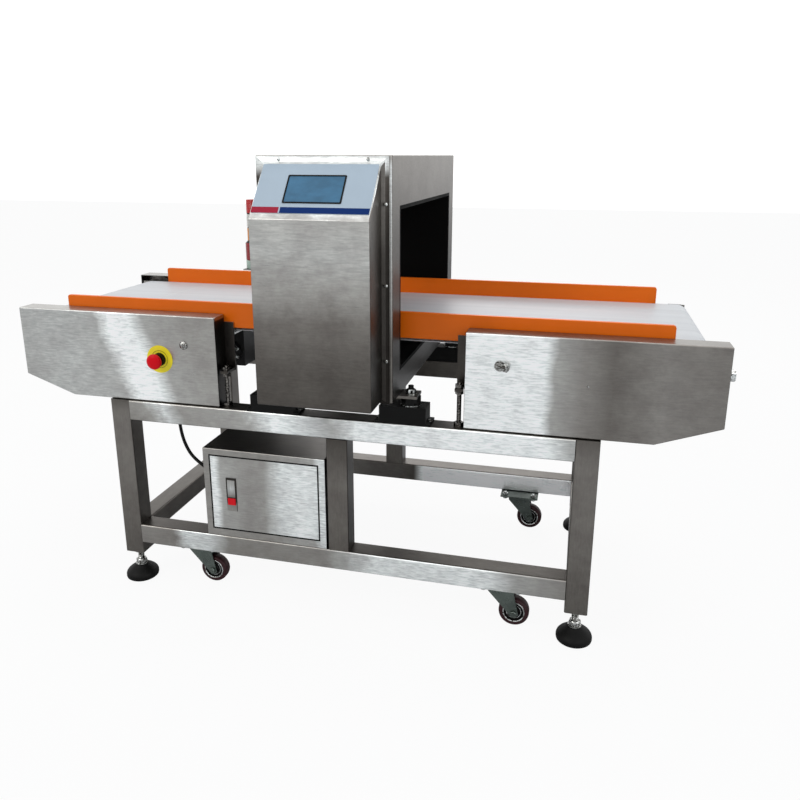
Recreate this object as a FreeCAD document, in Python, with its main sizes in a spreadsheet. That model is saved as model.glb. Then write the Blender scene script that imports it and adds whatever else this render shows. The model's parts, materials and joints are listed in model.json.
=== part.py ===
"""Conveyor metal detector: a tunnel detector head over a short flat-belt conveyor on a welded stand.

Frame of the part: millimetres, X along the belt, Y away from the operator, +Z up.
The origin is on the floor, under the middle of the machine's whole box. Positions below are given
from the middle of the welded stand at its own datum level, and place() moves them by shift_x,
shift_y and shift_z.
"""

import FreeCAD, Part
import math
import os

import Sketcher

Vector = FreeCAD.Vector
Rotation = FreeCAD.Rotation

DIMENSIONS = {
    # from the stand's datum to the middle of the whole machine on the floor
    "shift_x": -6, "shift_y": 43, "shift_z": 5,
    # radial play of every turning or sliding fit
    "play": 0.05,
    # welded stand of square tube
    "tube": 50, "tube_wall": 2, "tube_corner": 4, "frame_length": 1140, "frame_depth": 580,
    "leg_bottom": 73, "lower_rail_top": 152, "upper_rail_top": 480, "leg_plate": 6,
    # levelling feet
    "pad_radius": 40, "pad_height": 35, "stud_radius": 8, "stud_top": 133, "base_nut": 12,
    "base_nut_flats": 24,
    # casters
    "caster_x": 378, "caster_y": 240, "caster_plate_length": 105, "caster_plate_width": 80,
    "caster_plate_sheet": 4, "caster_trail": 30, "axle_height": 30.5, "wheel_radius": 35,
    "wheel_width": 25, "fork_inside": 30, "fork_sheet": 2.5, "crown_radius": 30,
    "race_radius": 24, "race_height": 8, "axle_radius": 4, "kingpin_radius": 6,
    # belt bed
    "belt_top": 678, "belt_sheet": 2, "belt_width": 430, "roller_centre": 750,
    "roller_radius": 28, "shaft_radius": 10, "snub_centre": 300, "snub_radius": 12, "snub_shaft": 5,
    "return_height": 651, "bed_sheet": 12, "bed_length": 1384,
    "guard_length": 1400, "guard_low": 660, "guard_high": 718, "guard_sheet": 10,
    "guard_outside": 233, "web_sheet": 4, "web_low": 560, "web_high": 674,
    "web_inner_end": 262, "web_outer_end": 790, "web_rear_end": 772, "tie_low": 600,
    "tie_height": 16, "tie_width": 30, "tie_sheet": 3, "stud_inner": 272, "stud_outer": 545,
    "lug_out": 27, "lug_in": 18, "lug_half": 8.5, "lug_thick": 6, "support_stud": 5,
    # bearing blocks and belt tension screws
    "bearing_half": 23, "bearing_depth": 20, "tension_height": 630, "tension_out": 20,
    "tension_radius": 6, "tension_head": 22, "tension_end": 813, "pusher_lug": 700,
    # side covers of folded sheet
    "cover_inner": 285, "cover_outer": 801, "cover_bevel": 673, "cover_low": 481,
    "cover_shoulder": 526, "cover_high": 692, "cover_front": 284, "cover_back": 237,
    "cover_sheet": 1.5, "cover_bend": 2.5, "rear_cover_inner": 375,
    # drive
    "output_x": 424, "output_z": 515, "worm_rise": 40, "chain_y": 264, "chain_pitch": 12.7,
    "motor_teeth": 11, "roller_teeth": 17, "motor_radius": 48, "gearbox_front": 66,
    "gearbox_back": 144, "output_radius": 9,
    # detector head
    "head_x": 3, "head_length": 284, "head_depth": 690, "head_low": 545, "head_high": 1046,
    "head_sheet": 3, "head_bend": 3, "tunnel_width": 570, "tunnel_low": 600, "tunnel_high": 947,
    "liner": 8, "lug_sheet": 6,
    # rubber mounts of the head: the block's middle, and the bolt beyond it
    "mount_x": 152, "mount_y": 265, "mount_bolt": 166, "mount_length": 104, "mount_width": 50,
    "mount_height": 40, "mount_plate": 5, "mount_foot": 124, "mount_cup": 22, "mount_stem": 6,
    # alarm lamp at the head's infeed face
    "lamp_x": 166, "lamp_y": -300, "lamp_low": 812, "lamp_radius": 22, "lamp_height": 145,
    "lamp_upper_radius": 17, "lamp_step": 58, "lamp_shelf": 4, "lamp_bracket": 34,
    # control box on the head
    "control_x": 1, "control_width": 244, "control_depth": 86, "control_low": 550,
    "control_front_high": 927, "control_back_high": 1031, "control_flange_width": 276,
    "control_flange_high": 1044, "control_sheet": 2, "control_bend": 3,
    # operator panel, measured up the slanted face from its lower fold
    "film_half": 119.5, "film_low": 14, "film_high": 131, "screen_half": 60, "screen_low": 37,
    "screen_high": 104,
    # electric cabinet in the stand
    "cabinet_left": 335, "cabinet_right": 29, "cabinet_high": 378, "cabinet_depth": 200,
    "cabinet_sheet": 2, "cabinet_bend": 2, "door_left": 316, "door_right": 48, "door_low": 174,
    "door_high": 359, "door_gap": 3, "door_depth": 12, "pivot_radius": 2,
    # emergency stop on the left cover
    "estop_x": 430, "estop_z": 587, "stop_stem": 8,
}


class Size:
    """A length held twice: as a number, and as the spreadsheet formula that gives it."""

    def __init__(self, value, formula):
        self.value = float(value)
        self.formula = formula

    @staticmethod
    def of(other):
        return other if isinstance(other, Size) else Size(other, repr(float(other)))

    def _with(self, other, sign, value):
        return Size(value, "(%s %s %s)" % (self.formula, sign, other.formula))

    def __add__(self, other):
        other = Size.of(other)
        return self._with(other, "+", self.value + other.value)

    def __sub__(self, other):
        other = Size.of(other)
        return self._with(other, "-", self.value - other.value)

    def __mul__(self, other):
        other = Size.of(other)
        return self._with(other, "*", self.value * other.value)

    def __truediv__(self, other):
        other = Size.of(other)
        return self._with(other, "/", self.value / other.value)

    def __neg__(self):
        return Size(-self.value, "(0 - %s)" % self.formula)

    def __radd__(self, other):
        return Size.of(other) + self

    def __rsub__(self, other):
        return Size.of(other) - self

    def __rmul__(self, other):
        return Size.of(other) * self


doc = FreeCAD.newDocument("ConveyorMetalDetector")
sheet = doc.addObject("Spreadsheet::Sheet", "Sizes")
for row, (alias, number) in enumerate(DIMENSIONS.items(), start=1):
    sheet.set("A%d" % row, alias)
    sheet.set("B%d" % row, str(number))
    sheet.setAlias("B%d" % row, alias)
doc.recompute()

NODES = []


class Sizes:
    """Reads one alias of the sheet as a Size."""

    def __getattr__(self, alias):
        return Size(sheet.get(alias), "Sizes." + alias)


S = Sizes()


# ---------------------------------------------------------------- building helpers

def node(feature, label):
    """Marks a feature as a sub-part of its own."""
    feature.Label = label
    NODES.append(feature)
    return feature


def place(feature, x=0, y=0, z=0, rotation=None):
    """Puts a feature at a point, given from the stand's datum."""
    point = [x + S.shift_x, y + S.shift_y, z + S.shift_z]
    feature.Placement = FreeCAD.Placement(
        Vector(*[part.value for part in point]), rotation or Rotation())
    for letter, part in zip("xyz", point):
        feature.setExpression("Placement.Base." + letter, part.formula)
    return feature


def box(name, x0, x1, y0, y1, z0, z1):
    """A block between two corners."""
    low = [Size.of(value) for value in (x0, y0, z0)]
    high = [Size.of(value) for value in (x1, y1, z1)]
    feature = doc.addObject("Part::Box", name)
    for side, a, b in zip(("Length", "Width", "Height"), low, high):
        feature.setExpression(side, (b - a).formula)
    return place(feature, *low)


TO_X = Rotation(Vector(0, 1, 0), 90)
TO_Y = Rotation(Vector(1, 0, 0), -90)
TO_MINUS_Y = Rotation(Vector(1, 0, 0), 90)


def cylinder(name, radius, length, x, y, z, rotation=None):
    """A round bar that starts at a point and runs along its rotated Z axis."""
    feature = doc.addObject("Part::Cylinder", name)
    feature.setExpression("Radius", Size.of(radius).formula)
    feature.setExpression("Height", Size.of(length).formula)
    return place(feature, x, y, z, rotation)


def hexagon(name, across_flats, length, x, y, z, rotation=None):
    """A hexagonal bar that starts at a point."""
    feature = doc.addObject("Part::Prism", name)
    feature.Polygon = 6
    feature.setExpression("Circumradius", (Size.of(across_flats) / math.sqrt(3)).formula)
    feature.setExpression("Height", Size.of(length).formula)
    return place(feature, x, y, z, rotation)


def fuse(name, parts):
    feature = doc.addObject("Part::MultiFuse", name)
    feature.Shapes = parts
    feature.Refine = True
    return feature


def cut(name, base, tools):
    tool = tools[0] if len(tools) == 1 else fuse(name + "_tools", tools)
    feature = doc.addObject("Part::Cut", name)
    feature.Base = base
    feature.Tool = tool
    feature.Refine = True
    return feature


def group(name, parts):
    """Several identical pieces that share one node."""
    feature = doc.addObject("Part::Compound", name)
    feature.Links = parts
    return feature


def body(name):
    return doc.addObject("PartDesign::Body", name)


def sketch(owner, role, name):
    """An empty sketch on one of the body's own origin planes."""
    drawing = owner.newObject("Sketcher::SketchObject", name)
    plane = [item for item in owner.Origin.OriginFeatures if item.Role == role][0]
    drawing.AttachmentSupport = [(plane, "")]
    drawing.MapMode = "FlatFace"
    return drawing


def bind(drawing, kind, *where):
    """Adds a dimension whose value follows the sheet."""
    size = Size.of(where[-1])
    index = drawing.addConstraint(Sketcher.Constraint(kind, *where[:-1], size.value))
    drawing.setExpression("Constraints[%d]" % index, size.formula)


def polygon(drawing, points):
    """A closed outline with each corner dimensioned from the origin."""
    points = [(Size.of(across), Size.of(up)) for across, up in points]
    first = drawing.GeometryCount
    count = len(points)
    for i, (across, up) in enumerate(points):
        following = points[(i + 1) % count]
        start = Vector(across.value, up.value, 0)
        end = Vector(following[0].value, following[1].value, 0)
        drawing.addGeometry(Part.LineSegment(start, end), False)
    for i in range(count):
        drawing.addConstraint(Sketcher.Constraint(
            "Coincident", first + i, 2, first + (i + 1) % count, 1))
    for i, (across, up) in enumerate(points):
        bind(drawing, "DistanceX", -1, 1, first + i, 1, across)
        bind(drawing, "DistanceY", -1, 1, first + i, 1, up)


def rectangle(drawing, x0, x1, y0, y1):
    polygon(drawing, [(x0, y0), (x1, y0), (x1, y1), (x0, y1)])


def circle(drawing, across, up, radius):
    across, up, radius = Size.of(across), Size.of(up), Size.of(radius)
    index = drawing.addGeometry(Part.Circle(
        Vector(across.value, up.value, 0), Vector(0, 0, 1), radius.value), False)
    bind(drawing, "Radius", index, radius)
    bind(drawing, "DistanceX", -1, 1, index, 3, across)
    bind(drawing, "DistanceY", -1, 1, index, 3, up)


def pad(owner, drawing, length, name, middle=False, back=False):
    feature = owner.newObject("PartDesign::Pad", name)
    feature.Profile = drawing
    feature.setExpression("Length", Size.of(length).formula)
    feature.Midplane = middle
    feature.Reversed = back
    return feature


def pocket(owner, drawing, length, name, middle=False, back=False):
    feature = owner.newObject("PartDesign::Pocket", name)
    feature.Profile = drawing
    feature.setExpression("Length", Size.of(length).formula)
    feature.Midplane = middle
    feature.Reversed = back
    return feature


def revolve(owner, drawing, name, axis="V_Axis"):
    feature = owner.newObject("PartDesign::Revolution", name)
    feature.Profile = drawing
    feature.ReferenceAxis = (drawing, [axis])
    feature.Angle = 360
    return feature


def soften(owner, base, radius, name, chosen):
    """Rounds the edges of a body's feature that a rule picks."""
    doc.recompute()
    picked = ["Edge%d" % i for i, edge in enumerate(base.Shape.Edges, start=1) if chosen(edge)]
    feature = owner.newObject("PartDesign::Fillet", name)
    feature.Base = (base, picked)
    feature.setExpression("Radius", Size.of(radius).formula)
    return feature


def rounded_box(name, block, radius):
    """The same block with all its edges rounded."""
    doc.recompute()
    feature = doc.addObject("Part::Fillet", name)
    feature.Base = block
    count = len(block.Shape.Edges)
    feature.Edges = [(i, radius.value, radius.value) for i in range(1, count + 1)]
    return feature


# ---------------------------------------------------------------- welded stand

HALF_LENGTH = S.frame_length / 2
HALF_DEPTH = S.frame_depth / 2
RAIL_HALF = HALF_LENGTH - S.tube
CROSS_HALF = HALF_DEPTH - S.tube


def square_tube(label, length, x, y, z, rotation=None):
    """Square tube that starts at a point on its centre line."""
    tube = body(label)
    drawing = sketch(tube, "XY_Plane", label + "_section")
    outer = S.tube / 2
    inner = outer - S.tube_wall
    rectangle(drawing, -outer, outer, -outer, outer)
    rectangle(drawing, -inner, inner, -inner, inner)
    pad(tube, drawing, length, label + "_run")
    return place(tube, x, y, z, rotation)


def round_corners(tube):
    """Rolled outer corners along a finished tube."""
    outer = S.tube.value / 2

    def is_corner(edge):
        ends = [vertex.Point for vertex in edge.Vertexes]
        same_place = all(abs(abs(end.x) - outer) + abs(abs(end.y) - outer) < 0.01 for end in ends)
        return same_place and abs(ends[0].z - ends[-1].z) > 1

    soften(tube, tube.Tip, S.tube_corner, tube.Label + "_corners", is_corner)
    return tube


def make_leg(label, side_x, side_y):
    """A leg: square tube with a welded cap and a bottom plate bored for the foot's stud."""
    x = side_x * (HALF_LENGTH - S.tube / 2)
    y = side_y * (HALF_DEPTH - S.tube / 2)
    length = S.upper_rail_top - S.leg_bottom
    leg = square_tube(label, length, x, y, S.leg_bottom)
    outer = S.tube / 2
    foot_plate = sketch(leg, "XY_Plane", label + "_plate")
    rectangle(foot_plate, -outer, outer, -outer, outer)
    circle(foot_plate, 0, 0, S.stud_radius + S.play)
    pad(leg, foot_plate, S.leg_plate, label + "_bottom_plate")
    cap = sketch(leg, "XY_Plane", label + "_cap")
    cap.AttachmentOffset = FreeCAD.Placement(Vector(0, 0, 1), Rotation())
    cap.setExpression("AttachmentOffset.Base.z", (length - S.tube_wall).formula)
    rectangle(cap, -outer, outer, -outer, outer)
    pad(leg, cap, S.tube_wall, label + "_top_cap")
    node(round_corners(leg), label)


def make_stand():
    for side_x, end in ((-1, "left"), (1, "right")):
        for side_y, face in ((-1, "front"), (1, "rear")):
            make_leg("leg_%s_%s" % (face, end), side_x, side_y)
    rail_y = HALF_DEPTH - S.tube / 2
    cross_x = HALF_LENGTH - S.tube / 2
    for level, top in (("top", S.upper_rail_top), ("bottom", S.lower_rail_top)):
        centre = top - S.tube / 2
        rails = [round_corners(square_tube("%s_rail_%s" % (level, face), RAIL_HALF * 2,
                                           -RAIL_HALF, side * rail_y, centre, TO_X))
                 for side, face in ((-1, "front"), (1, "rear"))]
        if level == "top":
            for rail in rails:
                node(rail, rail.Label)
        else:
            node(group("BottomRails", rails), "bottom_rails")
        crosses = [round_corners(square_tube("%s_cross_%s" % (level, end), CROSS_HALF * 2,
                                             side * cross_x, -CROSS_HALF, centre, TO_Y))
                   for side, end in ((-1, "left"), (1, "right"))]
        node(group(level.title() + "Crosses", crosses), level + "_cross_rails")
    post_height = S.upper_rail_top - S.tube - S.lower_rail_top
    posts = [round_corners(square_tube("mid_post_" + face, post_height,
                                       0, side * rail_y, S.lower_rail_top))
             for side, face in ((-1, "front"), (1, "rear"))]
    node(group("MidPosts", posts), "mid_posts")


# ---------------------------------------------------------------- feet and casters

def make_foot(label, side_x, side_y):
    """Levelling foot: a bell-shaped pad swaged to a stud, with its base hexagon."""
    foot = body(label)
    profile = sketch(foot, "XZ_Plane", label + "_profile")
    rim = S.pad_radius
    top = S.pad_height
    polygon(profile, [
        (0, 0), (rim - 2, 0), (rim, 2), (rim, 11), (rim * 0.86, 19), (rim * 0.5, top - 6),
        (rim * 0.38, top), (S.stud_radius, top), (S.stud_radius, S.stud_top), (0, S.stud_top)])
    revolve(foot, profile, label + "_turned")
    flats = sketch(foot, "XY_Plane", label + "_hexagon")
    flats.AttachmentOffset = FreeCAD.Placement(Vector(0, 0, 1), Rotation())
    flats.setExpression("AttachmentOffset.Base.z", top.formula)
    corner = S.base_nut_flats / math.sqrt(3)
    turns = [math.radians(60 * i) for i in range(6)]
    polygon(flats, [(corner * math.cos(turn), corner * math.sin(turn)) for turn in turns])
    pad(foot, flats, S.base_nut, label + "_nut")
    node(foot, label)
    place(foot, side_x * (HALF_LENGTH - S.tube / 2), side_y * (HALF_DEPTH - S.tube / 2),
          -S.shift_z)


def make_caster_plates():
    """Four top plates under the lower rails, each bored for its fork's kingpin."""
    plates = []
    for side_x in (-1, 1):
        for side_y in (-1, 1):
            name = "caster_plate_%d%d" % (side_x + 1, side_y + 1)
            plate = body(name)
            drawing = sketch(plate, "XY_Plane", name + "_outline")
            half_x = S.caster_plate_length / 2
            half_y = S.caster_plate_width / 2
            rectangle(drawing, -half_x, half_x, -half_y, half_y)
            circle(drawing, 0, 0, S.kingpin_radius + S.play)
            pad(plate, drawing, S.caster_plate_sheet, name + "_sheet", back=True)
            place(plate, side_x * S.caster_x, side_y * S.caster_y, S.lower_rail_top - S.tube)
            plates.append(plate)
    node(group("CasterPlates", plates), "caster_plates")


FORK_CLEARANCE = 0.4
BOSS_RADIUS = 11


def make_fork(label, side_x, side_y):
    """Swivel fork pressed from one sheet under its ball race, with the axle riveted across it."""
    fork = body(label)
    half = S.fork_inside / 2 + S.fork_sheet
    race_top = (S.lower_rail_top - S.tube) - S.caster_plate_sheet - FORK_CLEARANCE
    drop = race_top - S.axle_height
    crown = -S.race_height
    side = sketch(fork, "XZ_Plane", label + "_side")
    polygon(side, [
        (-S.crown_radius, crown), (-S.crown_radius, crown - 8),
        (S.caster_trail - BOSS_RADIUS, -drop - 3), (S.caster_trail - 5, -drop - BOSS_RADIUS),
        (S.caster_trail + 5, -drop - BOSS_RADIUS), (S.caster_trail + BOSS_RADIUS, -drop - 3),
        (S.crown_radius, crown - 14), (S.crown_radius, crown)])
    pad(fork, side, half * 2, label + "_blank", middle=True)
    gap = sketch(fork, "YZ_Plane", label + "_gap")
    inside = S.fork_inside / 2
    rectangle(gap, -inside, inside, -drop - 2 * BOSS_RADIUS, crown - S.fork_sheet)
    pocket(fork, gap, 4 * S.wheel_radius, label + "_channel", middle=True)
    race = sketch(fork, "XY_Plane", label + "_race")
    circle(race, 0, 0, S.race_radius)
    pad(fork, race, S.race_height, label + "_bearing", back=True)
    kingpin = sketch(fork, "XY_Plane", label + "_kingpin")
    circle(kingpin, 0, 0, S.kingpin_radius)
    pad(fork, kingpin, S.caster_plate_sheet, label + "_pivot")
    axle = sketch(fork, "XZ_Plane", label + "_axle")
    circle(axle, S.caster_trail, -drop, S.axle_radius)
    pad(fork, axle, half * 2 + 8, label + "_rivet", middle=True)
    node(fork, label)
    place(fork, side_x * S.caster_x, side_y * S.caster_y, race_top)


def make_wheel(label, side_x, side_y):
    """Wheel with a bevelled tyre, dished sides and a bored hub."""
    wheel = body(label)
    profile = sketch(wheel, "YZ_Plane", label + "_profile")
    half = S.wheel_width / 2
    bore = S.axle_radius + S.play
    rim = S.wheel_radius
    hub = 12
    dish = 4
    polygon(profile, [
        (-half, bore), (half, bore), (half, hub), (half - dish, hub), (half - dish, rim - 10),
        (half, rim - 10), (half, rim - 4), (half - 4, rim), (-half + 4, rim),
        (-half, rim - 4), (-half, rim - 10), (-half + dish, rim - 10), (-half + dish, hub),
        (-half, hub)])
    revolve(wheel, profile, label + "_turned", axis="H_Axis")
    node(wheel, label)
    place(wheel, side_x * S.caster_x + S.caster_trail, side_y * S.caster_y, S.axle_height)


def make_running_gear():
    make_caster_plates()
    for side_x, end in ((-1, "left"), (1, "right")):
        for side_y, face in ((-1, "front"), (1, "rear")):
            corner = "%s_%s" % (face, end)
            make_foot("levelling_foot_" + corner, side_x, side_y)
            make_fork("caster_fork_" + corner, side_x, side_y)
            make_wheel("caster_wheel_" + corner, side_x, side_y)


# ---------------------------------------------------------------- belt bed

ROLLER_AXIS = S.belt_top - S.belt_sheet - S.roller_radius
SNUB_AXIS = S.return_height - S.belt_sheet / 2 - S.snub_radius
WEB_OUTSIDE = S.guard_outside + S.web_sheet


def make_side_plate(name, side_x, side_y, outer_end, screw_lug=None):
    """Web of the bed: shaft holes, lugs for its studs and, where given, one for a screw."""
    plate = body(name)
    inner, outer = side_x * S.web_inner_end, side_x * outer_end
    web = sketch(plate, "XZ_Plane", name + "_web")
    rectangle(web, inner, outer, S.web_low, S.web_high)
    circle(web, side_x * S.roller_centre, ROLLER_AXIS, S.shaft_radius + 1)
    circle(web, side_x * S.snub_centre, SNUB_AXIS, S.snub_shaft + S.play)
    pad(plate, web, S.web_sheet, name + "_sheet", back=side_y > 0)
    lugs = sketch(plate, "XZ_Plane", name + "_lugs")
    rectangle(lugs, side_x * (S.stud_inner - S.lug_half), side_x * (S.stud_inner + S.lug_half),
              S.web_low, S.web_low + S.lug_thick)
    if screw_lug is not None:
        rectangle(lugs, screw_lug - 3, screw_lug, S.tension_height - 13, S.tension_height + 13)
    pad(plate, lugs, S.web_sheet + 2 * S.tension_out, name + "_tabs", back=side_y > 0)
    inside = sketch(plate, "XZ_Plane", name + "_inside_lug")
    rectangle(inside, side_x * (S.stud_outer - S.lug_half), side_x * (S.stud_outer + S.lug_half),
              S.web_low, S.web_low + S.lug_thick)
    pad(plate, inside, 2 * S.lug_in - 2, name + "_shelf", back=side_y < 0)
    if screw_lug is not None:
        screw_hole = sketch(plate, "YZ_Plane", name + "_screw_hole")
        circle(screw_hole, side_y * (S.web_sheet + S.tension_out), S.tension_height,
               S.tension_radius + 0.2)
        pocket(plate, screw_hole, 2 * S.cover_outer, name + "_bore", middle=True)
    stud_holes = sketch(plate, "XY_Plane", name + "_stud_holes")
    circle(stud_holes, side_x * S.stud_inner, side_y * (S.web_sheet + S.lug_out),
           S.support_stud + 0.2)
    circle(stud_holes, side_x * S.stud_outer, -side_y * S.lug_in, S.support_stud + 0.2)
    pocket(plate, stud_holes, 2 * S.web_high, name + "_stud_bores", middle=True)
    place(plate, 0, side_y * S.guard_outside, 0)
    return plate


def make_side_plates():
    front = [make_side_plate("side_plate_front_left", -1, -1, S.web_outer_end),
             make_side_plate("side_plate_front_right", 1, -1, S.web_outer_end, S.web_outer_end)]
    node(group("SidePlatesFront", front), "side_plates_front")
    rear = [make_side_plate("side_plate_rear_left", -1, 1, S.web_outer_end),
            make_side_plate("side_plate_rear_right", 1, 1, S.web_rear_end, S.pusher_lug)]
    node(group("SidePlatesRear", rear), "side_plates_rear")


def make_support_studs():
    """Threaded studs with nuts that carry the side plates on the upper rails."""
    studs = []
    rail = S.upper_rail_top
    for side_x in (-1, 1):
        for side_y in (-1, 1):
            for centre, out in ((S.stud_inner, WEB_OUTSIDE + S.lug_out),
                                (S.stud_outer, S.guard_outside - S.lug_in)):
                x = side_x * centre
                y = side_y * out
                name = "stud_%d_%d_%d" % (side_x + 1, side_y + 1, int(centre.value))
                rod = cylinder(name, S.support_stud, S.web_low + 18 - rail, x, y, rail)
                foot = hexagon(name + "_foot", 19, 8, x, y, rail)
                nut = hexagon(name + "_nut", 16, 8, x, y, S.web_low - 8)
                lock = hexagon(name + "_lock", 16, 8, x, y, S.web_low + S.lug_thick)
                studs.append(fuse(name + "_set", [rod, foot, nut, lock]))
    node(group("SupportStuds", studs), "support_studs")


def make_cross_ties():
    ties = []
    for centre in (-452, -396, 396, 620):
        half = S.tie_width / 2
        outer = box("tie_%d" % (centre + 1000), centre - half, centre + half,
                    -S.guard_outside, S.guard_outside, S.tie_low, S.tie_low + S.tie_height)
        inner = box("tie_cut_%d" % (centre + 1000), centre - half + S.tie_sheet,
                    centre + half - S.tie_sheet, -S.guard_outside, S.guard_outside,
                    S.tie_low + S.tie_sheet, S.tie_low + 2 * S.tie_height)
        ties.append(cut("tie_channel_%d" % (centre + 1000), outer, [inner]))
    node(group("CrossTies", ties), "cross_ties")


def make_guard(label, side_y):
    """Orange product guide: a strip with rounded ends that also carries the bed."""
    guard = body(label)
    drawing = sketch(guard, "XZ_Plane", label + "_outline")
    half = S.guard_length / 2
    chamfer = 5
    polygon(drawing, [
        (-half, S.guard_low + 2), (-half + 2, S.guard_low), (half - 2, S.guard_low),
        (half, S.guard_low + 2), (half, S.guard_high - chamfer), (half - 1.5, S.guard_high - 1.5),
        (half - chamfer, S.guard_high), (-half + chamfer, S.guard_high),
        (-half + 1.5, S.guard_high - 1.5), (-half, S.guard_high - chamfer)])
    pad(guard, drawing, S.guard_sheet, label + "_strip", back=side_y < 0)
    node(guard, label)
    place(guard, 0, side_y * S.guard_outside, 0)


def make_bed_plate():
    half = S.guard_outside - S.guard_sheet
    top = S.belt_top - S.belt_sheet
    plate = box("BedPlate", -S.bed_length / 2, S.bed_length / 2, -half, half,
                top - S.bed_sheet, top)
    node(plate, "bed_plate")


def loop_wire(grow):
    """Closed path of the belt around both end rollers and over both snub rollers.

    The path runs through the middle of the belt; grow moves it outwards.
    """
    end_x = S.roller_centre.value
    end_z = ROLLER_AXIS.value
    end_r = S.roller_radius.value + S.belt_sheet.value / 2 + grow
    snub_x = S.snub_centre.value
    snub_z = SNUB_AXIS.value
    snub_r = S.snub_radius.value + S.belt_sheet.value / 2 - grow
    run_x = end_x - snub_x
    run_z = end_z - snub_z
    distance = math.hypot(run_x, run_z)
    lean = math.atan2(run_z, run_x)
    cross = math.asin((end_r + snub_r) / distance)
    down = lean - math.pi / 2 - cross
    end_point = (end_x + end_r * math.cos(down), end_z + end_r * math.sin(down))
    snub_point = (snub_x - snub_r * math.cos(down), snub_z - snub_r * math.sin(down))
    half_down = (math.pi / 2 + down) / 2
    end_middle = (end_x + end_r * math.cos(half_down), end_z + end_r * math.sin(half_down))
    up = (math.pi / 2 + math.atan2(snub_point[1] - snub_z, snub_point[0] - snub_x)) / 2
    snub_middle = (snub_x + snub_r * math.cos(up), snub_z + snub_r * math.sin(up))

    def at(point, side):
        return Vector(side * point[0], 0, point[1])

    edges = []
    top_right, top_left = (end_x, end_z + end_r), (end_x, end_z + end_r)
    edges.append(Part.LineSegment(at(top_left, -1), at(top_right, 1)).toShape())
    edges.append(Part.Arc(at(top_right, 1), at(end_middle, 1), at(end_point, 1)).toShape())
    edges.append(Part.LineSegment(at(end_point, 1), at(snub_point, 1)).toShape())
    snub_top = (snub_x, snub_z + snub_r)
    edges.append(Part.Arc(at(snub_point, 1), at(snub_middle, 1), at(snub_top, 1)).toShape())
    edges.append(Part.LineSegment(at(snub_top, 1), at(snub_top, -1)).toShape())
    edges.append(Part.Arc(at(snub_top, -1), at(snub_middle, -1), at(snub_point, -1)).toShape())
    edges.append(Part.LineSegment(at(snub_point, -1), at(end_point, -1)).toShape())
    edges.append(Part.Arc(at(end_point, -1), at(end_middle, -1), at(top_left, -1)).toShape())
    return Part.Wire(edges)


def make_belt():
    """Endless belt, a thin band swept across the machine."""
    half = S.belt_sheet.value / 2 - 0.05
    face = Part.Face([loop_wire(half), loop_wire(-half)])
    face.validate()
    width = S.belt_width.value
    belt = doc.addObject("Part::Feature", "Belt")
    belt.Shape = face.extrude(Vector(0, width, 0))
    place(belt, 0, -S.belt_width / 2, 0)
    node(belt, "belt")


def make_roller(label, x, z, radius, shaft, half_length, front, rear):
    """Roller turned in one with its shaft; the barrel is set back from the belt's thickness."""
    roller = body(label)
    profile = sketch(roller, "YZ_Plane", label + "_profile")
    polygon(profile, [
        (-front, 0), (-front, shaft - 1), (-front + 1, shaft), (-half_length, shaft),
        (-half_length, radius - 1), (-half_length + 2, radius), (half_length - 2, radius),
        (half_length, radius - 1), (half_length, shaft), (rear - 1, shaft), (rear, shaft - 1),
        (rear, 0)])
    revolve(roller, profile, label + "_turned", axis="H_Axis")
    node(roller, label)
    place(roller, x, 0, z)


def make_rollers():
    barrel = S.belt_width / 2 + 3
    bearing_end = WEB_OUTSIDE + 28
    gap = 0.2
    make_roller("drive_roller", -S.roller_centre, ROLLER_AXIS, S.roller_radius - gap,
                S.shaft_radius, barrel, bearing_end, S.chain_y + 12)
    make_roller("tail_roller", S.roller_centre, ROLLER_AXIS, S.roller_radius - gap,
                S.shaft_radius, barrel, bearing_end, bearing_end)
    for side, end in ((-1, "left"), (1, "right")):
        make_roller("snub_roller_" + end, side * S.snub_centre, SNUB_AXIS,
                    S.snub_radius - gap, S.snub_shaft, barrel, WEB_OUTSIDE, WEB_OUTSIDE)


def make_bearings():
    """Bearing blocks outside the side plates, one at each end of the two end rollers."""
    bearings = []
    half = S.bearing_half
    cut_off = half - 7
    for side_x in (-1, 1):
        for side_y in (-1, 1):
            name = "bearing_%d%d" % (side_x + 1, side_y + 1)
            unit = body(name)
            base = sketch(unit, "XZ_Plane", name + "_block")
            polygon(base, [(-cut_off, -half), (cut_off, -half), (half, -cut_off), (half, cut_off),
                           (cut_off, half), (-cut_off, half), (-half, cut_off), (-half, -cut_off)])
            circle(base, 0, 0, S.shaft_radius + S.play)
            pad(unit, base, S.bearing_depth, name + "_housing", back=side_y > 0)
            place(unit, side_x * S.roller_centre, side_y * WEB_OUTSIDE, ROLLER_AXIS)
            bearings.append(unit)
    node(group("Bearings", bearings), "roller_bearings")


def make_tension_screws():
    """Belt tension screws: the front one pulls from the end, the rear one pushes from inside."""
    head = 11
    y = WEB_OUTSIDE + S.tension_out
    level = S.tension_height
    front_face = S.roller_centre + S.bearing_half
    front_head = S.tension_end - head
    rear_face = S.roller_centre - S.bearing_half
    rear_head = S.pusher_lug - 3 - head
    screws = [
        fuse("TensionFront", [
            cylinder("TensionFrontShank", S.tension_radius, front_head - front_face + 1,
                     front_face, -y, level, TO_X),
            hexagon("TensionFrontHead", S.tension_head, head, front_head, -y, level, TO_X)]),
        fuse("TensionRear", [
            cylinder("TensionRearShank", S.tension_radius, rear_face - rear_head - 1,
                     rear_head + 1, y, level, TO_X),
            hexagon("TensionRearHead", S.tension_head, head, rear_head, y, level, TO_X)])]
    node(group("TensionScrews", screws), "tension_screws")


# ---------------------------------------------------------------- side covers

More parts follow.
